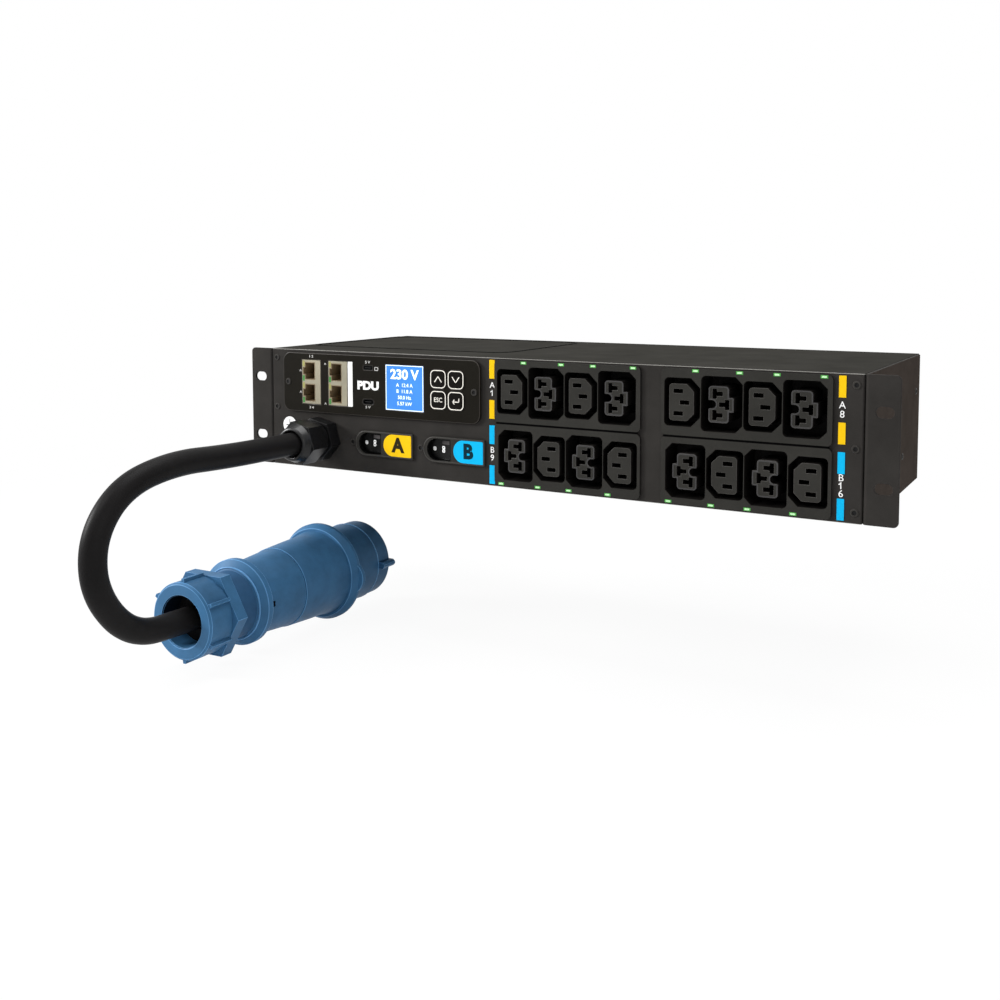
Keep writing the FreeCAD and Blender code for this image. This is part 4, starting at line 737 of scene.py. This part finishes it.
def button_head(shape, place, facing):
    """A low screw head with a socket in it, the socket's floor painted dark as shade."""
    rise = Matrix.Translation((0, 0, HEAD_HEIGHT / 2))
    verts = bmesh.ops.create_cone(shape, cap_ends=True, segments=HEAD_SIDES, radius1=HEAD_RADIUS,
                                  radius2=CROWN_RADIUS, depth=HEAD_HEIGHT, matrix=rise)["verts"]
    crown = max(faces_of(verts), key=lambda face: face.calc_center_median().z)
    bmesh.ops.inset_region(shape, faces=[crown], thickness=SOCKET_INSET, use_even_offset=True)
    floor = drawn_out(shape, [crown], (0, 0, -SOCKET_DROP))
    bmesh.ops.delete(shape, geom=[crown], context="FACES_ONLY")
    for face in faces_of(floor):
        face.material_index = 1
    body = connected(floor[0])
    bmesh.ops.recalc_face_normals(shape, faces=faces_of(body))
    turn = Vector((0, 0, 1)).rotation_difference(Vector(facing)).to_matrix().to_4x4()
    bmesh.ops.transform(shape, matrix=Matrix.Translation(place) @ turn, verts=body)


def fasteners():
    """The visible screw heads of the panel, module, breakers, ears and lid."""
    for node, heads in SCREW_HEADS.items():
        shape = bmesh.new()
        for place, facing in heads:
            button_head(shape, place, facing)
        piece = piece_of(shape, node + "_heads", "black_screw", FINISHES["black_screw"], port_black_and_socket_shade)
        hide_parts(node)


# The lid

FIELD_PLACE = mm(-129.0, 102.0)
FIELD = dict(size=mm(178.4, 130.4), corner=15.2 * MM, line=1.1 * MM)
FIELD_BEAD = 0.5 * MM


def pressed_field():
    """The low bead around the field pressed into the lid, painted dark as the shade along the field's edge.
    """
    shape = bmesh.new()
    bead = rim_line(shape, (0.0, 0.0), face=0.0, thick=FIELD_BEAD, **FIELD)
    place = Matrix.Translation((*FIELD_PLACE, LID_TOP + FIELD_BEAD))
    bmesh.ops.transform(shape, matrix=place @ Matrix.Rotation(-math.pi / 2, 4, "X"), verts=bead)
    piece_of(shape, "pressed_field_bead", "black_enamel", press_bead_painted_shade)


# The breakers

BREAKERS = ("breaker_a", "breaker_b")
BEZEL_HALF_WIDTH, BEZEL_HALF_HEIGHT = mm(25.15, 9.1)
BEZEL_CORNER, BEZEL_SEAT = mm(1.5, 0.3)
BEZEL_CORNER_STEPS, BEZEL_END_STEPS = 4, 12
# Each step of the rim's section: how far in, how far out of the panel
BEZEL_SECTION = ((0.1, 0.4), (0.5, 0.15), (0.4, -0.07), (0.3, -0.28))
WINDOW_LEFT, WINDOW_RIGHT, WINDOW_HALF_HEIGHT, WINDOW_DEPTH = mm(-22.3, -2.0, 8.0, 0.2)
TAG_LETTERS = {"A": (-104.4 * MM, yellow_tag_ink), "B": (-45.8 * MM, blue_tag_ink)}
TAG_LETTER = dict(height=9.6 * MM, bold=0.7 * MM)
ROCKER_MARK_ROW = BREAKER_ROW - 0.1 * MM
# Each mark's place along the rocker, its depth from the pivot and its slant in degrees
DOT_SEAT = (-5.88, -1.92, -0.6)
RING_SEAT = (1.8, -2.468, -13.4)
GREY_PATCH_SEAT = (3.9, -2.968, -13.4)
DOT = dict(size=mm(2.7, 3.0), corner=1.25 * MM)
RING = dict(size=mm(2.9, 2.3), corner=0.9 * MM, line=0.75 * MM)
GREY_PATCH = dict(size=mm(7.0, 2.6), corner=0.5 * MM)
RING_LIFT, GREY_PATCH_LIFT = mm(1.17, 4.9)


def bezel_rims():
    """The smooth raised line around each breaker surround, painted lighter than the moulding as a highlight.
    """
    shape = bmesh.new()
    for breaker in BREAKERS:
        centre = middle(breaker + "_bezel")
        left, right = centre.x - BEZEL_HALF_WIDTH, centre.x + BEZEL_HALF_WIDTH
        bottom, top = centre.z - BEZEL_HALF_HEIGHT, centre.z + BEZEL_HALF_HEIGHT
        corners = [shape.verts.new((x, BEZEL_FACE + BEZEL_SEAT, z))
                   for x, z in ((left, bottom), (right, bottom), (right, top), (left, top))]
        shape.faces.new(corners)
        rounded_corners(shape, corners[1:3], BEZEL_CORNER, BEZEL_CORNER_STEPS)
        rounded_corners(shape, corners[::3], BEZEL_HALF_HEIGHT - MEETING_GAP, BEZEL_END_STEPS)
        bmesh.ops.remove_doubles(shape, verts=shape.verts, dist=SHORT_EDGE)
        sheet = max(shape.faces, key=lambda face: len(face.verts))
        for across, lift in BEZEL_SECTION:
            inset(shape, sheet, across * MM, lift * MM)
        bmesh.ops.delete(shape, geom=[sheet], context="FACES_ONLY")
        bmesh.ops.bridge_loops(shape, edges=[edge for edge in shape.edges if edge.is_boundary])
    bmesh.ops.recalc_face_normals(shape, faces=shape.faces)
    smooth(shape)
    piece_of(shape, "bezel_rims", "black_moulding", rim_highlight)


def bezel_windows():
    """The surrounds of the breakers, with the walls inside their windows painted black as shade."""
    for breaker in BREAKERS:
        node = breaker + "_bezel"
        centre = middle(node)
        shape = merged_copy(node)
        # Faces set back inside a window take the painted shade
        for face in shape.faces:
            place = face.calc_center_median()
            across = WINDOW_LEFT < place.x - centre.x < WINDOW_RIGHT
            upright = abs(place.z - centre.z) < WINDOW_HALF_HEIGHT
            if across and upright and place.y > BEZEL_FACE + WINDOW_DEPTH:
                face.material_index = 1
        slot = slot_of_node[node]
        piece = piece_of(shape, node + "_windowed", slot, FINISHES[slot], rocker_black_and_window_shade,
                         body=body_of_node[node])
        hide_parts(node)


def tag_letters():
    """Dark letters on the coloured tags."""
    for words, (x, ink) in TAG_LETTERS.items():
        shape = bmesh.new()
        lettering(shape, words, (x, BREAKER_ROW), face=TAG_FACE - INK, **TAG_LETTER)
        piece_of(shape, "tag_letter_" + words.lower(), "module_plastic", ink)


def seat_on_rocker(rocker, along, deep, slant):
    """The place and slant of a mark on one half of a dished rocker."""
    pivot = pivot_of_body[rocker]
    place = Matrix.Translation((pivot.x + along * MM, pivot.y + deep * MM, ROCKER_MARK_ROW))
    return place @ Matrix.Rotation(math.radians(slant), 4, "Z")


def rocker_marks():
    """The white dot, the two rings and a grey patch on the two halves of each rocker."""
    for breaker in BREAKERS:
        rocker = breaker + "_rocker"
        shape = bmesh.new()
        dot = plate(shape, (0.0, 0.0), face=-INK, **DOT)
        bmesh.ops.transform(shape, matrix=seat_on_rocker(rocker, *DOT_SEAT), verts=dot)
        for lift in (-RING_LIFT, RING_LIFT):
            ring = rim_line(shape, (0.0, lift), face=-INK, **RING)
            bmesh.ops.transform(shape, matrix=seat_on_rocker(rocker, *RING_SEAT), verts=ring)
        piece_of(shape, rocker + "_marks", "white_mark", white_ink, body=rocker)
        shape = bmesh.new()
        patch_verts = plate(shape, (0.0, GREY_PATCH_LIFT), face=-INK, **GREY_PATCH)
        bmesh.ops.transform(shape, matrix=seat_on_rocker(rocker, *GREY_PATCH_SEAT), verts=patch_verts)
        piece_of(shape, rocker + "_grey_patch", "module_plastic", grey_patch_ink, body=rocker)


# The outlets

WAYS = (1, -1)
LAMP_ROW = 41.5 * MM
LAMPS_IN_ROW = 4
LAMP_FIRST, LAMP_STEP = mm(-39.6, 25.6)
LAMP_BESIDE_SMALL, LAMP_BESIDE_LARGE = mm(8.6, 11.1)
CORE = dict(size=mm(3.0, 1.1), corner=0.4 * MM)
LARGE_SOCKETS = mm(-14.0, 37.2)
# The outline of a large boss: across, up and the radius of each corner
CLOVER = [
    (-8.0, -11.3, 2.2), (5.0, -11.3, 2.2), (5.0, -4.5, 0.0), (8.0, -4.5, 0.6),
    (8.0, 4.5, 0.6), (5.0, 4.5, 0.0), (5.0, 11.3, 2.2), (-8.0, 11.3, 2.2),
    (-8.0, 2.6, 0.6), (-3.2, 2.6, 2.6), (-3.2, -2.6, 2.6), (-8.0, -2.6, 0.6),
]
CLOVER_STEPS = 4
BOSS_HIGHLIGHT_EDGE, BOSS_HIGHLIGHT_WIDTH = mm(0.1, 0.8)
ROW_GAP_SHADOW = dict(size=mm(104.0, 1.3), corner=0.3 * MM)


def lamp_cores():
    """The pale bright middle of each outlet lamp."""
    shape = bmesh.new()
    for column in OUTLET_COLUMNS:
        for way in WAYS:
            for step in range(LAMPS_IN_ROW):
                beside = LAMP_BESIDE_LARGE if step % 2 else LAMP_BESIDE_SMALL
                across = LAMP_FIRST + LAMP_STEP * step + beside
                plate(shape, (column + way * across, way * LAMP_ROW), face=BLOCK_FACE - INK, **CORE)
    piece_of(shape, "lamp_cores", "lamp_green", lamp_core)


def clover(shape, column, way, across):
    """A flat sheet with the outline of one large boss."""
    corners = [shape.verts.new((column + way * (across + x * MM), BOSS_FACE, way * (SOCKET_ROW + z * MM)))
               for x, z, radius in CLOVER]
    shape.faces.new(corners)
    for vert, (x, z, radius) in zip(corners, CLOVER):
        if radius:
            rounded_corners(shape, [vert], radius * MM - MEETING_GAP, CLOVER_STEPS)
    edge = [vert for vert in shape.verts if len(vert.link_faces) == 1]
    bmesh.ops.remove_doubles(shape, verts=edge, dist=SHORT_EDGE)
    return max(shape.faces, key=lambda face: len(face.verts))


def boss_highlights():
    """A painted highlight as a lighter line along the edge of each large boss."""
    shape = bmesh.new()
    for column in OUTLET_COLUMNS:
        for way in WAYS:
            for across in LARGE_SOCKETS:
                sheet = clover(shape, column, way, across)
                bmesh.ops.delete(shape, geom=inset(shape, sheet, BOSS_HIGHLIGHT_EDGE), context="FACES")
                line = inset(shape, sheet, BOSS_HIGHLIGHT_WIDTH)
                bmesh.ops.delete(shape, geom=[sheet], context="FACES_ONLY")
                drawn_out(shape, line, (0, -INK, 0))
    bmesh.ops.recalc_face_normals(shape, faces=shape.faces)
    piece_of(shape, "boss_highlights", "black_moulding", boss_highlight)


def row_gap_shadows():
    """A dark strip painted as the shadow in the gap between the upper and the lower blocks, as wide as their
    rounded edges leave it.
    """
    shape = bmesh.new()
    for column in OUTLET_COLUMNS:
        plate(shape, (column, 0.0), face=BLOCK_FACE - INK, **ROW_GAP_SHADOW)
    piece_of(shape, "row_gap_shadows", "black_moulding", gap_painted_shadow)


# Marks on the panel

STRIP_HALF_WIDTH = 2.1 * MM
NUMBER_HEIGHT = 4.1 * MM
LEFT_NUMBERS = (("A", 25.2), ("1", 19.8), ("B", -19.3), ("9", -24.7))
RIGHT_NUMBERS = (("A", 25.2), ("8", 19.8), ("B", -17.6), ("1", -22.3), ("6", -27.0))
# The slanting top stroke of a one, from its middle
ONE_START = mm(-1.1, 0.9)
ONE_END = mm(0.0, 1.7)
ONE_WIDTH = 0.6 * MM
EARTH_PLACE = mm(-204.5, -13.5)
EARTH_STEM, EARTH_LINE = mm(4.0, 0.7)
# The bars of the earth sign: height and half length
EARTH_BARS = ((0.0, 3.2), (-1.5, 2.1), (-3.0, 1.0))


def moved(at, step):
    """A point of the panel's plane moved by a step."""
    return at[0] + step[0], at[1] + step[1]


def circuit_numbers():
    """White circuit numbers between the coloured strips."""
    shape = bmesh.new()
    face = PANEL_FACE - INK
    columns = {low("yellow_markers").x + STRIP_HALF_WIDTH: LEFT_NUMBERS,
               high("yellow_markers").x - STRIP_HALF_WIDTH: RIGHT_NUMBERS}
    for x, numbers in columns.items():
        for words, height in numbers:
            at = (x, height * MM)
            lettering(shape, words, at, NUMBER_HEIGHT, face)
            if words == "1":
                stroke(shape, moved(at, ONE_START), moved(at, ONE_END), ONE_WIDTH, face)
    piece_of(shape, "circuit_numbers", "white_mark", white_ink)


def earth_sign():
    """The protective earth sign on its white disc."""
    shape = bmesh.new()
    face = DISC_FACE - INK
    stroke(shape, moved(EARTH_PLACE, (0.0, EARTH_STEM)), EARTH_PLACE, EARTH_LINE, face)
    for height, half in EARTH_BARS:
        left = moved(EARTH_PLACE, mm(-half, height))
        right = moved(EARTH_PLACE, mm(half, height))
        stroke(shape, left, right, EARTH_LINE, face)
    piece_of(shape, "earth_sign", "module_plastic", dark_ink)


# The controller module

PORT_WORDS = (("1 2", -181.9, 39.4), ("3 4", -181.9, 1.2), ("5 V", -130.2, 37.0), ("5 V", -130.2, 4.3))
PORT_LETTERS = dict(height=1.7 * MM, bold=0.05 * MM, wide=1.3)
PORT_SQUARE = dict(at=mm(-122.6, 32.5), size=mm(3.2, 2.6), corner=0.3 * MM, line=0.45 * MM)
PORT_ARROWS = ((-192.0, 28.7), (-192.0, 12.6), (-168.8, 34.4), (-168.8, 4.9))
ARROW_HALF, ARROW_LINE = mm(0.7, 0.4)
UNIT_LETTERS = dict(at=(-130.0 * MM, MODULE_ROW), height=5.6 * MM, bold=0.45 * MM, wide=1.2)
KEYS = ("key_up", "key_down", "key_escape", "key_enter")
KEY_FRAME = dict(size=mm(12.6, 12.6), corner=3.3 * MM, line=0.6 * MM)
KEY_LINE = 0.65 * MM
ESCAPE_LETTERS = dict(height=3.1 * MM, bold=0.03 * MM, wide=0.95)
ENTER_STROKES = (((-2.6, -0.6), (2.6, -0.6)), ((2.6, -0.6), (2.6, 1.7)),
                 ((-2.6, -0.6), (-1.2, 0.8)), ((-2.6, -0.6), (-1.2, -2.0)))
CHEVRON_HALF, CHEVRON_RISE = mm(2.7, 1.9)
SCREEN_FRAME = dict(size=mm(32.0, 32.2), corner=0.3 * MM, line=0.5 * MM)
SCREEN_HEADING = "230 V"
SCREEN_ROWS = ("A  12.4 A", "B  11.8 A", "50.0 Hz", "5.57 kW")
HEADING_LETTERS = dict(height=6.6 * MM, bold=0.3 * MM, wide=1.05)
ROW_LETTERS = dict(height=2.5 * MM, bold=0.03 * MM)
HEADING_LIFT, ROW_FIRST, ROW_STEP = mm(9.3, 1.9, 4.4)
CONTACTS = 8
CONTACT_PITCH, CONTACT_ASIDE, CONTACT_DEPTH, CONTACT_EDGE = mm(1.02, 1.2, 3.6, 0.08)
CONTACT_SIZE = mm(0.3, 9.0, 0.45)
CONTACT_SLANT = math.radians(18)
JACK_HALF_STEP = 8.1 * MM
LABEL_THICK = 0.15 * MM
LABEL = dict(at=mm(-145.9, 20.3), size=mm(4.2, 32.9), corner=0.3 * MM, thick=LABEL_THICK)


def port_marks():
    """Small numbers, arrows and a square beside the network sockets and the data ports."""
    face = PLATE_FACE - INK
    shape = bmesh.new()
    for words, x, z in PORT_WORDS:
        lettering(shape, words, mm(x, z), face=face, **PORT_LETTERS)
    rim_line(shape, face=face, **PORT_SQUARE)
    for place in PORT_ARROWS:
        tip = moved(mm(*place), (0.0, ARROW_HALF))
        for side in (-ARROW_HALF, ARROW_HALF):
            stroke(shape, moved(mm(*place), (side, -ARROW_HALF)), tip, ARROW_LINE, face)
    piece_of(shape, "port_marks", "white_mark", grey_ink)
    shape = bmesh.new()
    lettering(shape, "PDU", face=face, **UNIT_LETTERS)
    piece_of(shape, "unit_letters", "white_mark", white_ink)


def key_signs():
    """The light frame and sign on each key."""
    face = KEY_FACE - INK
    for key in KEYS:
        at = (middle(key).x, middle(key).z)
        shape = bmesh.new()
        rim_line(shape, at, face=face, **KEY_FRAME)
        if key == "key_escape":
            lettering(shape, "ESC", at, face=face, **ESCAPE_LETTERS)
        elif key == "key_enter":
            for start, end in ENTER_STROKES:
                stroke(shape, moved(at, mm(*start)), moved(at, mm(*end)), KEY_LINE, face)
        else:
            rise = CHEVRON_RISE if key == "key_up" else -CHEVRON_RISE
            for side in (-CHEVRON_HALF, CHEVRON_HALF):
                stroke(shape, moved(at, (0.0, rise)), moved(at, (side, -rise)), KEY_LINE, face)
        piece_of(shape, key + "_sign", "white_mark", key_ink, body=key)


def screen_readings():
    """The lit display: a thin white frame and rows of readings."""
    face = SCREEN_FACE - INK
    at = (middle("display").x, middle("display").z)
    shape = bmesh.new()
    rim_line(shape, at, face=face, **SCREEN_FRAME)
    lettering(shape, SCREEN_HEADING, moved(at, (0.0, HEADING_LIFT)), face=face, **HEADING_LETTERS)
    for row, words in enumerate(SCREEN_ROWS):
        lettering(shape, words, moved(at, (0.0, ROW_FIRST - ROW_STEP * row)), face=face, **ROW_LETTERS)
    piece_of(shape, "screen_readings", "white_mark", screen_white)


def jack_contacts():
    """The eight sprung wires inside each network socket."""
    shape = bmesh.new()
    slant = Matrix.Rotation(CONTACT_SLANT, 4, "Z")
    for jack in (middle("network_jack_left"), middle("network_jack_right")):
        for row in (jack.z - JACK_HALF_STEP, jack.z + JACK_HALF_STEP):
            for wire in range(CONTACTS):
                verts = bmesh.ops.create_cube(shape, size=1.0)["verts"]
                bmesh.ops.scale(shape, verts=verts, vec=CONTACT_SIZE)
                height = row + (wire - (CONTACTS - 1) / 2) * CONTACT_PITCH
                place = Matrix.Translation((jack.x + CONTACT_ASIDE, CONTACT_DEPTH, height))
                bmesh.ops.transform(shape, matrix=place @ slant, verts=verts)
    bmesh.ops.bevel(shape, geom=shape.edges[:], offset=CONTACT_EDGE, segments=EDGE_STEPS, profile=0.5,
                    affect="EDGES", material=-1)
    piece_of(shape, "jack_contacts", "contact_brass", FINISHES["contact_brass"])


def label_strip():
    """The white label beside the network jacks."""
    shape = bmesh.new()
    plate(shape, face=PLATE_FACE - LABEL_THICK, **LABEL)
    piece_of(shape, "label_strip", "white_mark", label_paper)


# The whole unit

photo_camera()
white_surroundings()
for lamp_name, setting in LAMPS.items():
    lamp(lamp_name, **setting)
pale_floor()

for node, solid in frame["nodes"].items():
    for holder in solid.material_slots:
        holder.material = NODE_FINISHES.get(node, FINISHES[slot_of_node[node]])

edged = soft_edges()
power_cord([edged.get(node, frame["nodes"][node]) for node in PLUG_NODES] + [plug_ridges(), drain_hole_shade()])
fasteners()
circuit_numbers()
bezel_rims()
bezel_windows()
pressed_field()
tag_letters()
rocker_marks()
lamp_cores()
boss_highlights()
row_gap_shadows()
port_marks()
earth_sign()
key_signs()
screen_readings()
jack_contacts()
label_strip()
